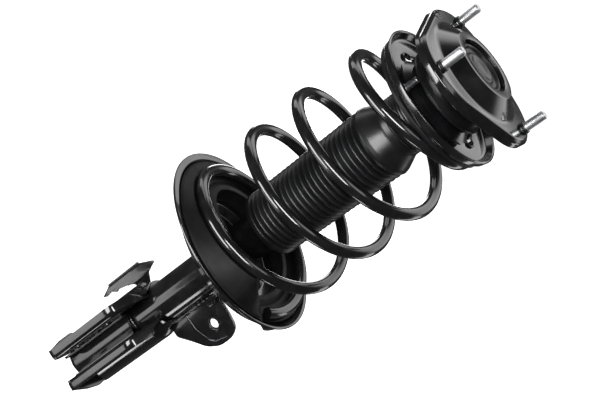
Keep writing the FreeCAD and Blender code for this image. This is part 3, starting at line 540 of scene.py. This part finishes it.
def make_upper_seat():
    """Pressed dish: crown, sloping shoulder, flat floor and a rolled upright rim."""
    rim_top, bore, crown, slope_foot = -41.0, 20, 42, 54
    seat = lathe("upper_seat_pressing", rounded([
        (bore, SEAT_TOP, 1), (crown, SEAT_TOP, 3), (slope_foot, SEAT_FLOOR, 6),
        (SEAT_RIM - 6.5, SEAT_FLOOR, 4), (SEAT_RIM - 3.6, rim_top - 0.8, 1.2), (SEAT_RIM - 2.4, rim_top, 0.6),
        (SEAT_RIM, rim_top - 0.6, 1.2), (SEAT_RIM - 1.4, rim_top - 7.6, 1.8),
        (SEAT_RIM - 4.8, SEAT_UNDER, 2.5), (slope_foot - 1, SEAT_UNDER, 6),
        (crown - 1, SEAT_TOP - SEAT_GAUGE, 3), (bore, SEAT_TOP - SEAT_GAUGE, 1)], 6))
    holes = [rod("hole", (side * SEAT_HOLE_REACH, 0, -80), (side * SEAT_HOLE_REACH, 0, -20), SEAT_HOLE_RADIUS)
             for side in (-1, 1)]
    cut_out(seat, holes)
    soften(seat, 30)
    rims = []
    for side in (-1, 1):
        middle = Vector((side * SEAT_HOLE_REACH, 0, SEAT_FLOOR + 1.2))
        line = [middle + polar(SEAT_HOLE_RADIUS + 0.7, TURN * k / 48, 0) for k in range(48)]
        rims.append(tube(f"hole_rim_{side}", line, 1.1, 12, closed=True))
    whole = joined("upper_seat_dish", [seat, *rims])
    stands_for(whole, "upper_seat", "black_paint", "upper_spring_seat")


def make_upper_pad():
    """Rubber ring between the seat and the top coil, with a lip that wraps the seat's edge."""
    top, under = high("upper_spring_pad").z, low("upper_spring_pad").z
    inner, outer, thickness = 61.0, high("upper_spring_pad").x, 2.4
    pad = lathe("upper_pad_ring", rounded([
        (inner, top, 0.6), (outer - 0.6, top, 0.8), (outer, top - 1.5, 0.8), (outer - 0.4, under, 0.6),
        (outer - 1.5, under, 0.5), (outer - 1.7, top - thickness, 0.8), (inner, top - thickness, 0.8)], 6))
    stands_for(pad, "upper_seat", "pad_rubber", "upper_spring_pad")


BOOT_TOP = high("dust_boot").z
BOOT_FOOT = low("dust_boot").z
BOOT_RADIUS = high("dust_boot").x
NECK_RADIUS = 33.0
HEAD_LENGTH = 34.0
PLEAT_TOP = BOOT_TOP - HEAD_LENGTH
PLEAT_COUNT = 22


def boot_outside(height):
    """Outer reach of the boot, which narrows slightly downwards."""
    share = (BOOT_TOP - height) / (BOOT_TOP - BOOT_FOOT)
    return BOOT_RADIUS - 2.0 * share


def make_dust_boot():
    """Sleeve with a bell-shaped head, narrow-backed pleats below it and a collar at the foot."""
    collar = 9.0
    pitch = (PLEAT_TOP - BOOT_FOOT - collar) / PLEAT_COUNT
    depth, steps, sharpness = 4.6, 12, 1.15
    head, neck_inside = BOOT_RADIUS + 0.4, NECK_RADIUS - 4
    profile = rounded([
        (neck_inside, BOOT_TOP - 0.2, 0), (NECK_RADIUS, BOOT_TOP - 0.2, 0.6), (NECK_RADIUS, BOOT_TOP - 8, 10),
        (head - 1.5, PLEAT_TOP + 10, 8), (head, PLEAT_TOP + 5, 3), (head - 1.2, PLEAT_TOP + 1.2, 1.6),
        (head - 3.5, PLEAT_TOP, 0)], 6, closed=False)
    for k in range(PLEAT_COUNT):
        for s in range(steps):
            t = s / steps
            z = PLEAT_TOP - 0.3 - pitch * (k + t)
            back = abs(math.sin(math.pi * t)) ** sharpness
            profile.append(Vector((boot_outside(z) - depth * (1 - back), z)))
    foot = boot_outside(BOOT_FOOT)
    profile += rounded([(foot - depth, BOOT_FOOT + collar, 1), (foot + 0.3, BOOT_FOOT + collar - 2, 1.6),
                        (foot + 0.3, BOOT_FOOT + 0.6, 1.8), (foot - 5, BOOT_FOOT + 0.2, 1.2)])
    inside = foot - depth - 1.6
    profile += [Vector((inside, BOOT_FOOT + 0.4)), Vector((inside, PLEAT_TOP)),
                Vector((neck_inside, BOOT_TOP - 9))]
    boot = lathe("dust_boot_pleats", profile)
    stands_for(boot, "upper_seat", "boot_rubber", "dust_boot")
    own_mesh(boot)


def make_boot_cap():
    """Neck with fine rings, from the seat down to the head of the boot."""
    top, under = high("boot_cap").z, BOOT_TOP + 0.1
    bore, wall, ring_count, ring_pitch = 28, 3, 6, 3.4
    valley, ridge = NECK_RADIUS + 0.1, NECK_RADIUS + 1.3
    outline = [(bore, top, 0.6), (NECK_RADIUS + 3, top, 1.5), (NECK_RADIUS + 1, top - 8, 6)]
    for k in range(ring_count):
        z = under + 20 - ring_pitch * k
        outline += [(valley, z, 0.5), (ridge, z - 0.9, 0.6), (valley, z - 1.8, 0.5)]
    outline += [(NECK_RADIUS, under, 0.4), (NECK_RADIUS - wall, under, 0.4),
                (NECK_RADIUS - wall, top - wall, 1), (bore, top - wall, 0.6)]
    stands_for(lathe("boot_cap_shell", rounded(outline, 4)), "upper_seat", "boot_rubber", "boot_cap")


# --- spring ----------------------------------------------------------------------------------

WIRE_RADIUS = 7.0
COIL_TURNS = 4.33
SEATED_TURNS = 0.92
COIL_TIP = math.radians(-30)
# Turns are counted from the wire's lower tip; n counts them from the datum turn.
DATUM_TURN = 1.583
# The open coils run between these two values of n, and a closer-wound end follows on each side.
LOW_END, HIGH_END = -1.0, 2.1
LOW_TURNS, CLOSE_TURNS = DATUM_TURN + LOW_END, 0.26
DRAW_START, DRAW_TURNS = 2.08, 0.32
END_SLOPE, DRAW_SLOPE = 26, -5.7
FIRST_LEVEL = low("coil_spring").z + WIRE_RADIUS + 0.8
LAST_LEVEL = high("coil_spring").z - WIRE_RADIUS
LAST_REACH = 68.2


def bend_between(share, span, start, end, slope_in, slope_out):
    """Cubic from one value to another over a span, with a slope at each end."""
    rise = 3 * share ** 2 - 2 * share ** 3
    lead_in = (share ** 3 - 2 * share ** 2 + share) * span * slope_in
    lead_out = (share ** 3 - share ** 2) * span * slope_out
    return start + (end - start) * rise + lead_in + lead_out


def open_height(n):
    """Height of the working coils, n turns above the datum turn."""
    return -240.4 + 75.5 * n - 4.4 * n ** 2 + 2.0 * n ** 3


def open_pitch(n):
    """Climb of the working coils per turn, the slope of open_height."""
    return 75.5 - 8.8 * n + 6.0 * n ** 2


def coil_height(turn):
    """Height of the wire's centre: a close lower end, open coils, and a last turn under the seat."""
    n = turn - DATUM_TURN
    if n < LOW_END:
        return bend_between(turn / LOW_TURNS, LOW_TURNS, FIRST_LEVEL, open_height(LOW_END),
                            END_SLOPE, open_pitch(LOW_END))
    if n < HIGH_END:
        return open_height(n)
    share = min((n - HIGH_END) / CLOSE_TURNS, 1)
    return bend_between(share, CLOSE_TURNS, open_height(HIGH_END), LAST_LEVEL, open_pitch(HIGH_END), 0)


def coil_reach(turn):
    """Reach of the wire's centre: widest low down, drawn in at the top."""
    n = turn - DATUM_TURN
    open_reach = 91.7 - 1.28 * (min(n, DRAW_START) + 0.15) ** 2
    share = min(max((n - DRAW_START) / DRAW_TURNS, 0), 1)
    return bend_between(share, DRAW_TURNS, open_reach, LAST_REACH, DRAW_SLOPE, 0)


def coil_lean(turn):
    """Sideways offset of the coils, which lean a little from the strut axis."""
    n = turn - DATUM_TURN
    return (-0.5 - 1.73 * n) * (1 - smooth_step(n, 1.85, 2.1))


def coil_line(start, end, rings):
    """Points along the wire's centre between two turns."""
    line = []
    for k in range(rings + 1):
        turn = start + (end - start) * k / rings
        place = polar(coil_reach(turn), COIL_TIP + TURN * turn, coil_height(turn))
        line.append(place + Vector((coil_lean(turn), 0, 0)))
    return line


def make_coil_spring():
    """Spring in two pieces: the end turn that lies on the pad, and the coils that close up."""
    end_turn = tube("coil_spring_end_turn", coil_line(0, SEATED_TURNS, 100), WIRE_RADIUS, 28)
    stands_for(end_turn, "strut_body", "spring_paint", "coil_spring")
    spring = tube("coil_spring_wire", coil_line(SEATED_TURNS, COIL_TURNS, 360), WIRE_RADIUS, 28)
    stands_for(spring, "upper_seat", "spring_paint", "coil_spring")
    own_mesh(spring)


# --- lower seat and pad ----------------------------------------------------------------------

PAN_CENTRE = Vector((-4.3, -6.5, -336.7))
PAN_NORMAL = Vector((0.068, 0.102, 1)).normalized()
PAN_RADIUS = 115.6
PAN_LIP = 8.5
PAN_DEPTH = 20.0
PAN_STEP = 60.0
PAN_GAUGE = 3.0
PAN_FLOOR = 28.0
TUBE_BORE = 25.5
LIP_SIDE = math.radians(150)
LEAN_SIDE = math.radians(-125)


def on_pan(radius, angle, height):
    """Point in the pan's own tilted frame."""
    turn = Vector((0, 0, 1)).rotation_difference(PAN_NORMAL).to_matrix()
    return PAN_CENTRE + turn @ polar(radius, angle, height)


def lip_width(angle):
    """Width of the lip's flat, widest on the side away from the spring's end."""
    narrowest = 2.6
    return narrowest + (PAN_LIP - narrowest) * (0.5 + 0.5 * math.cos(angle - LIP_SIDE)) ** 0.8


def pan_foot(angle):
    """Radius of the pan wall's foot: the wall leans in further on one side than on the other."""
    least_lean, extra_lean = 8, 15
    share = (0.5 + 0.5 * math.cos(angle - LEAN_SIDE)) ** 2
    return PAN_RADIUS - PAN_LIP - least_lean - extra_lean * share


def pan_section(angle):
    """Section of the pressed pan: stepped floor, tapered wall and lip."""
    inner = PAN_RADIUS - lip_width(angle)
    foot, bore = pan_foot(angle), PAN_STEP - 34
    under, floor_under = -PAN_DEPTH - PAN_GAUGE, -PAN_FLOOR - PAN_GAUGE
    return rounded([
        (bore, -PAN_FLOOR, 0.5), (PAN_STEP - 8, -PAN_FLOOR, 3), (PAN_STEP, -PAN_DEPTH, 3),
        (foot - 3, -PAN_DEPTH, 3), (inner, 0, 1.8), (PAN_RADIUS, 0, 1.3), (PAN_RADIUS, -PAN_GAUGE, 1.3),
        (inner + 1.6, -PAN_GAUGE - 0.2, 1.4), (foot + 0.5, under, 4), (PAN_STEP + 1.5, under, 3),
        (PAN_STEP - 6.5, floor_under, 3), (bore, floor_under, 0.5)], 6)


def make_lower_seat():
    """Dished pan with a flat lip, and the sleeve that is welded round the tube."""
    pan = swept("lower_seat_pan", pan_section, 180, on_pan)
    top, foot, outer = PAN_CENTRE.z - PAN_FLOOR + 4, PAN_CENTRE.z - PAN_FLOOR - 24, 30
    sleeve = lathe("lower_seat_sleeve", rounded([
        (TUBE_BORE, top, 0.5), (outer, top, 1), (outer, foot, 1.4), (TUBE_BORE, foot, 0.5)]))
    whole = joined("lower_seat_pressing", [pan, sleeve])
    stands_for(whole, "strut_body", "black_paint", "lower_spring_seat")


def lip_height(x, y):
    """Height of the lip's plane at (x, y)."""
    drop = PAN_NORMAL.x * (x - PAN_CENTRE.x) + PAN_NORMAL.y * (y - PAN_CENTRE.y)
    return PAN_CENTRE.z - drop / PAN_NORMAL.z


def pad_crest(turned):
    """Height of the pad's crest: under the wire as it climbs, then a straight slide down."""
    full, peak, foot = 360.0, 324.0, 358.0
    wire_clearance = 0.4
    climb = coil_height(min(turned, peak) / full) - WIRE_RADIUS - wire_clearance
    low_end = coil_height(0) - WIRE_RADIUS - wire_clearance
    slide = min(max((turned - peak) / (foot - peak), 0.0), 1.0)
    return climb + (low_end - climb) * slide


def pad_section(angle):
    """Section of the lower pad at an angle: outer wall, bead, flank, coil groove, inner collar."""
    turned = math.degrees(angle - COIL_TIP) % 360
    crest = pad_crest(turned)
    across, along = math.cos(angle), math.sin(angle)
    offset = PAN_CENTRE.x * across + PAN_CENTRE.y * along
    outer = PAN_RADIUS - lip_width(angle) - 3 + offset
    foot = pan_foot(angle) - 5 + offset
    lip = lip_height(outer * across, outer * along)
    floor = lip - PAN_DEPTH + 0.4
    crest = max(crest, lip - PAN_DEPTH + 4.5)
    bead = min(max(lip + 1.0, floor + 3), crest)
    collar = min(crest + 3, lip + 14)
    shoulder, inner = 98.0, 66.0
    inner_floor = lip_height(inner * across, inner * along) - PAN_DEPTH + 0.4
    return rounded([
        (inner - 1, inner_floor, 0.5), (foot, floor, 0.8), (outer, bead - 2, 1.0),
        (outer - 2.5, bead + 0.6, 1.2), (shoulder + 0.5, crest + 1.5, 2.0), (shoulder - 4, crest + 0.2, 1.5),
        (inner + 12, crest - 0.6, 2), (inner + 5, collar, 1.5), (inner - 1, collar, 1.5)], 5)


def make_lower_pad():
    """Rubber ramp that carries the spring's end turn."""
    pad = swept("lower_pad_ramp", pad_section, 240, start=COIL_TIP)
    stands_for(pad, "strut_body", "pad_rubber", "lower_spring_pad")


# --- brackets on the tube --------------------------------------------------------------------

EAR_TURN = math.radians(-7)
TUBE_RADIUS = 25.4
BRACKET_GAUGE = 4.6
BRACKET_TOP = high("knuckle_bracket").z
BRACKET_FOOT = low("knuckle_bracket").z
EAR_REACH = 64.0
EAR_WALL = 17.3
LIP_TOP = -519.0


def about_axis(point):
    """Point of the bracket's own frame, turned to where the ears point."""
    return Matrix.Rotation(EAR_TURN, 3, "Z") @ point


def ear_reach(z):
    """Reach of the ears towards the knuckle, which slopes back above the lips."""
    top_reach = 28
    slope = (z - LIP_TOP) / (BRACKET_TOP - LIP_TOP)
    return EAR_REACH - (EAR_REACH - top_reach) * max(slope, 0) ** 1.1


def lip_edge(z):
    """Distance of the lip's edge from the middle: full width up to near the top, then run out."""
    width, run_out = 12, 11.5
    return EAR_WALL + width - run_out * smooth_step(z, BRACKET_TOP - 12, BRACKET_TOP - 1)


def wrap_reach(z):
    """Radius of the wrap's middle: snug at the top, swollen lower down."""
    swell = 7.5 * (1 - smooth_step(z, BRACKET_TOP - 26, BRACKET_TOP - 5))
    return TUBE_RADIUS + BRACKET_GAUGE / 2 + 0.1 + swell


def strip(centre_line, gauge):
    """Closed outline of a sheet of even gauge about an open line of (x, y) points."""
    left, right = [], []
    last = len(centre_line) - 1
    for i, point in enumerate(centre_line):
        run = centre_line[min(i + 1, last)] - centre_line[max(i - 1, 0)]
        normal = Vector((-run.y, run.x)).normalized() * gauge / 2
        left.append(point + normal)
        right.append(point - normal)
    return left + right[::-1]


def clamp_line(z):
    """Middle line of the clamp in plan: lip, ear, round the back of the tube, ear, lip."""
    front, radius = ear_reach(z) - BRACKET_GAUGE / 2, wrap_reach(z)
    root = min(36.0, front - 3)
    joint = math.radians(36)
    half = rounded([(lip_edge(z), -front, 0), (EAR_WALL, -front, 5), (EAR_WALL, -root, 6),
                    (radius * math.sin(joint), -radius * math.cos(joint), 0)], 6, closed=False)
    arc = []
    for k in range(33):
        angle = math.radians(44 + 8.5 * k)
        arc.append(Vector((radius * math.sin(angle), -radius * math.cos(angle))))
    mirrored = [Vector((-p.x, p.y)) for p in reversed(half)]
    return half + arc + mirrored


def foot_flange(side):
    """Turned-out flange along the lower edge of an ear, widest beside the tube."""
    root, front, back = EAR_WALL - 2, -63, -2
    outline = rounded([(root, front, 1), (29, front, 3), (36, -40, 12), (39, -20, 10), (35, back, 6),
                       (26, back, 2), (root, -34, 3)], 6)
    rows = [[about_axis(Vector((side * x, y, z))) for x, y in outline]
            for z in (BRACKET_FOOT, BRACKET_FOOT + BRACKET_GAUGE)]
    return skin("foot_flange", rows, around=False, ends=True)


def make_knuckle_bracket():
    """Pressed clamp with turned-out lips, bolt holes and a welded foot flange on each ear."""
    levels = [BRACKET_FOOT + 6 * k for k in range(20)]
    levels += [LIP_TOP + 2.4 * k for k in range(1, 12)]
    levels.append(BRACKET_TOP)
    rows = []
    for z in levels:
        rows.append([about_axis(Vector((x, y, z))) for x, y in strip(clamp_line(z), BRACKET_GAUGE)])
    clamp = skin("clamp", rows, around=False, ends=True)
    holes = []
    for name in ("knuckle_bolt_upper", "knuckle_bolt_lower"):
        middle = Vector(mount(name)["pos_m"]) / MM
        along = Vector(mount(name)["axis"])
        holes.append(rod("hole", middle - along * 45, middle + along * 45, mount(name)["dims"]["r_mm"]))
    cut_out(clamp, holes)
    clamp = bevelled(clamp, 0.9, 2, 50)
    flanges = [bevelled(foot_flange(side), 1.2, 3, 50) for side in (-1, 1)]
    whole = joined("knuckle_clamp", [clamp, *flanges])
    stands_for(whole, "strut_body", "black_paint", "knuckle_bracket")


def make_bracket_stiffener():
    """Curved plate between the ears with its edges turned forward, and the welds that hold it."""
    gauge, bottom, top = 3.0, low("bracket_stiffener").z, high("bracket_stiffener").z
    reach, edge, front, steps = 29.4, 13.3, -37.5, 24
    line = rounded([
        (-edge, front, 0), (-edge, -28, 3), (-9, -reach, 3), (0, -reach - 2.2, 20), (9, -reach, 3),
        (edge, -28, 3), (edge, front, 0)], 5, closed=False)
    rows = []
    for k in range(steps + 1):
        z = bottom + (top - bottom) * k / steps
        rows.append([about_axis(Vector((x, y, z))) for x, y in strip(line, gauge)])
    plate = bevelled(skin("stiffener", rows, around=False, ends=True), 0.7, 2, 50)
    beads = []
    for side in (-1, 1):
        for k in range(5):
            start = Vector((side * 14.6, -38.4, bottom + 16 + 22 * k))
            beads.append(weld("edge_weld", [about_axis(start + Vector((0, 0, 9 * j))) for j in range(3)]))
    beads.append(weld("top_weld", [about_axis(polar(reach - 1.5, math.radians(a), top + 0.6))
                                   for a in range(-116, -60, 8)], 1.5))
    whole = joined("stiffener_plate", [plate, *beads])
    stands_for(whole, "strut_body", "black_paint", "bracket_stiffener")


def make_link_bracket():
    """Eye for the stabiliser link: a rimmed plate with a joggle, a gusset and weld beads."""
    hole = mount("stabiliser_link_hole")
    centre, bore = Vector(hole["pos_m"]) / MM, hole["dims"]["r_mm"]
    root, eye, gauge, bend = TUBE_RADIUS + 0.2, 27.0, 5.0, 30
    x, z = centre.x, centre.z
    outline = rounded([
        (root, z + 30, 0), (x, z + eye, bend), (x + 19, z + 23, bend), (x + eye, z + 8, bend),
        (x + eye, z - 12, bend), (x + 19, z - 29, bend), (x + 2, z - 44, bend), (x - 12, z - 58, 8),
        (root + 2, z - 56.5, 3), (root, z - 48, 2)], 8)
    plate = pressing("eye_plate", outline, (0, 0, 0), (1, 0, 0), gauge)
    cut_out(plate, [rod("hole", centre + Vector((0, -20, 0)), centre + Vector((0, 20, 0)), bore)])
    plate = bevelled(plate, 1.0, 3, 40)
    crease = rounded([(root + 4, z - 27, 0), (x - 6, z - 27, 10), (x + 17, z - 18, 12), (x + 21, z + 6, 0)],
                     8, closed=False)
    rim = tube("rim", [Vector((u, -1.9, v)) for u, v in crease], 1.5, 12)
    face_middle = centre + Vector((0, -2.4, 0))
    ring = []
    for k in range(48):
        angle = TURN * k / 48
        ring.append(face_middle + Vector((math.cos(angle), 0, math.sin(angle))) * (bore + 0.9))
    collar = tube("bore_rim", ring, 0.8, 10, closed=True)
    gusset_outline = rounded([(0, z + 13, 1), (9, z + 13, 3), (9, z + 27, 2), (0, z + 31, 1)], 5)
    gusset = pressing("gusset", gusset_outline, (root + 7, -1, 0), (0.35, -0.94, 0), 3.0)
    bead = weld("root_weld", [Vector((root + 1.0, -3.2, z - 46 + 12 * k)) for k in range(7)])
    whole = joined("link_eye_plate", [plate, rim, collar, bevelled(gusset, 0.7, 2, 50), bead])
    stands_for(whole, "strut_body", "black_paint", "stabiliser_link_bracket")


def make_hose_bracket():
    """Brake hose bracket: a leg on the clamp, and a wing with a rolled edge and a notched lower end."""
    middle, gauge = -508.0, 2.5
    foot = TUBE_RADIUS + BRACKET_GAUGE + 0.2
    leg = rounded([(0, middle + 17, 1), (11, middle + 24, 4), (14, middle + 30, 1), (14, middle - 14, 1),
                   (9, middle - 2, 6), (0, middle - 4, 1)], 6)
    wing = rounded([(0, middle + 30, 2), (5, middle + 44, 2), (8, middle + 44, 2), (19, middle + 28, 3),
                    (19, middle - 29, 3), (9, middle - 54, 2), (6, middle - 50, 1), (8, middle - 38, 2),
                    (2, middle - 34, 1), (4, middle - 28, 2), (0, middle - 14, 2)], 5)
    bend = Vector((-foot - 14, 0, 0))
    along = Vector((-0.97, 0.25, 0))
    shorten, slant, rolled_radius = 0.8, 0.68, 1.7
    wing = [Vector((p.x * shorten, p.y - slant * p.x)) for p in wing]
    edge = bend + along * 15.2 + Vector((0, 0, middle - 13))
    pieces = [bevelled(pressing("leg", leg, (-foot, 0, 0), (-1, 0, 0), gauge), 0.5, 2, 50),
              bevelled(pressing("wing", wing, bend, along, gauge), 0.5, 2, 50),
              tube("fold", [bend + Vector((0, 0, middle + z)) for z in (-14, 30)], gauge / 2, 16),
              tube("rolled_edge", [edge + Vector((0, 0, z)) for z in (-30, 0, 29)], rolled_radius, 16)]
    whole = joined("hose_bracket_plate", pieces)
    stands_for(whole, "strut_body", "black_paint", "hose_bracket")


# --- light, floor and camera -----------------------------------------------------------------


def softbox(name, azimuth, elevation, distance, width, height, radiance, target=(0, 0, -0.25)):
    """Rectangular light seen from the target at an azimuth (from +X) and elevation in degrees."""
    a, e = math.radians(azimuth), math.radians(elevation)
    towards = Vector((math.cos(a) * math.cos(e), math.sin(a) * math.cos(e), math.sin(e)))
    light = bpy.data.lights.new(name, "AREA")
    light.shape = "RECTANGLE"
    light.size, light.size_y = width, height
    light.energy = radiance * math.pi * width * height
    box = bpy.data.objects.new(name, light)
    box.location = Vector(target) + towards * distance
    box.rotation_mode = "QUATERNION"
    box.rotation_quaternion = towards.to_track_quat("Z", "Y")
    box.visible_camera = False
    bpy.context.scene.collection.objects.link(box)


def make_lights():
    """A key in front, fills for the dark sides, and rims and a wide light behind."""
    softbox("key", azimuth=-97, elevation=30, distance=1.7, width=1.1, height=0.4, radiance=20)
    softbox("left_fill", azimuth=-120, elevation=-26, distance=1.3, width=0.85, height=0.5, radiance=11,
            target=(0, 0, -0.075))
    softbox("bracket_fill", azimuth=-16, elevation=-39, distance=0.9, width=0.2, height=0.3, radiance=6,
            target=(-0.05, 0, -0.52))
    softbox("low_fill", azimuth=-113, elevation=-42, distance=0.9, width=0.55, height=0.26, radiance=2.6,
            target=(-0.02, -0.03, -0.54))
    softbox("left_rim", azimuth=155, elevation=10, distance=1.5, width=0.4, height=1.3, radiance=1.5)
    softbox("right_rim", azimuth=32, elevation=-5, distance=1.5, width=0.3, height=1.3, radiance=2)
    softbox("back", azimuth=100, elevation=-14, distance=1.7, width=1.3, height=0.35, radiance=4)
    softbox("top_fill", azimuth=-60, elevation=70, distance=1.6, width=0.5, height=0.9, radiance=2)


CAMERA_WHITE = 1.05
BACKDROP_LIGHT = 1.6
ROOM_LIGHT = 0.06


def facing_share(nodes, links, place, direction, start, end):
    """Share from 0 to 1 as a reflection turns towards a direction; start and end are cosines."""
    facing = nodes.new("ShaderNodeVectorMath")
    facing.operation = "DOT_PRODUCT"
    facing.inputs[1].default_value = direction
    links.new(place.outputs["Generated"], facing.inputs[0])
    share = nodes.new("ShaderNodeMapRange")
    share.interpolation_type = "SMOOTHSTEP"
    share.inputs["From Min"].default_value = start
    share.inputs["From Max"].default_value = end
    links.new(facing.outputs["Value"], share.inputs["Value"])
    return share.outputs["Result"]


def white_light(nodes, strength):
    """Background node of plain white."""
    light = nodes.new("ShaderNodeBackground")
    light.inputs["Color"].default_value = (1, 1, 1, 1)
    light.inputs["Strength"].default_value = strength
    return light


def backdrop_light(nodes, links):
    """What reflections see: a pale backdrop behind the object, and a dim room elsewhere."""
    place = nodes.new("ShaderNodeTexCoord")
    above = facing_share(nodes, links, place, (0, 0, 1), 0.262, 0.383)
    behind = facing_share(nodes, links, place, (0, 1, 0), 0.45, 0.68)
    backdrop = nodes.new("ShaderNodeMath")
    backdrop.operation = "MULTIPLY"
    links.new(above, backdrop.inputs[0])
    links.new(behind, backdrop.inputs[1])
    total = nodes.new("ShaderNodeMath")
    total.operation = "MULTIPLY_ADD"
    links.new(backdrop.outputs[0], total.inputs[0])
    total.inputs[1].default_value = BACKDROP_LIGHT
    total.inputs[2].default_value = ROOM_LIGHT
    room = white_light(nodes, 1)
    links.new(total.outputs[0], room.inputs["Strength"])
    return room


def make_world():
    """White to the camera; to reflections, the backdrop and the room."""
    world = bpy.data.worlds.new("studio")
    world.use_nodes = True
    nodes, links = world.node_tree.nodes, world.node_tree.links
    nodes.clear()
    path = nodes.new("ShaderNodeLightPath")
    mix = nodes.new("ShaderNodeMixShader")
    links.new(path.outputs["Is Camera Ray"], mix.inputs[0])
    links.new(backdrop_light(nodes, links).outputs[0], mix.inputs[1])
    links.new(white_light(nodes, CAMERA_WHITE).outputs[0], mix.inputs[2])
    out = nodes.new("ShaderNodeOutputWorld")
    links.new(mix.outputs[0], out.inputs["Surface"])
    bpy.context.scene.world = world


def make_floor():
    """Pale sweep well below the strut."""
    size, level = 9.0, -0.9
    steps = 12
    rows = []
    for i in range(steps + 1):
        y = size * (i / steps - 0.5)
        rows.append([Vector((size * (k / steps - 0.5), y, level)) / MM for k in range(steps + 1)])
    floor = skin("floor", rows, around=False, along=False)
    paint = Finish("floor_white", (0.92, 0.92, 0.92), 0.9, Emission_Strength=1.0)
    paint.shader.inputs["Emission Color"].default_value = (1, 1, 1, 1)
    paint.bump(paint.pattern(60, 3), 0.05)
    floor.data.materials.append(paint.material)
    floor.visible_glossy = False
    floor.visible_diffuse = False


def make_camera():
    """Camera above and in front of the strut, rolled so that the strut leans in the frame."""
    elevation, roll = math.radians(29.36), math.radians(53.48)
    target = Vector((-0.00172, 0, -0.25))
    distance, lens = 1.1386, 60.69
    towards = Vector((0, -math.cos(elevation), math.sin(elevation)))
    camera = bpy.data.objects.new("camera", bpy.data.cameras.new("camera"))
    camera.data.sensor_width = 36
    camera.data.lens = lens
    tilt = Matrix.Rotation(math.pi / 2 - elevation, 4, "X") @ Matrix.Rotation(roll, 4, "Z")
    camera.matrix_world = Matrix.Translation(target + towards * distance) @ tilt
    bpy.context.scene.collection.objects.link(camera)
    bpy.context.scene.camera = camera


# --- whole scene -----------------------------------------------------------------------------


def main():
    bpy.context.scene.view_settings.view_transform = "Standard"
    finish_cad_nodes()
    make_mount_plate()
    make_tower_studs()
    make_dust_cap()
    make_bearing_housing()
    make_seat_pin()
    make_upper_seat()
    make_upper_pad()
    make_boot_cap()
    make_dust_boot()
    make_coil_spring()
    make_lower_seat()
    make_lower_pad()
    make_knuckle_bracket()
    make_bracket_stiffener()
    make_link_bracket()
    make_hose_bracket()
    make_lights()
    make_world()
    make_floor()
    make_camera()


main()
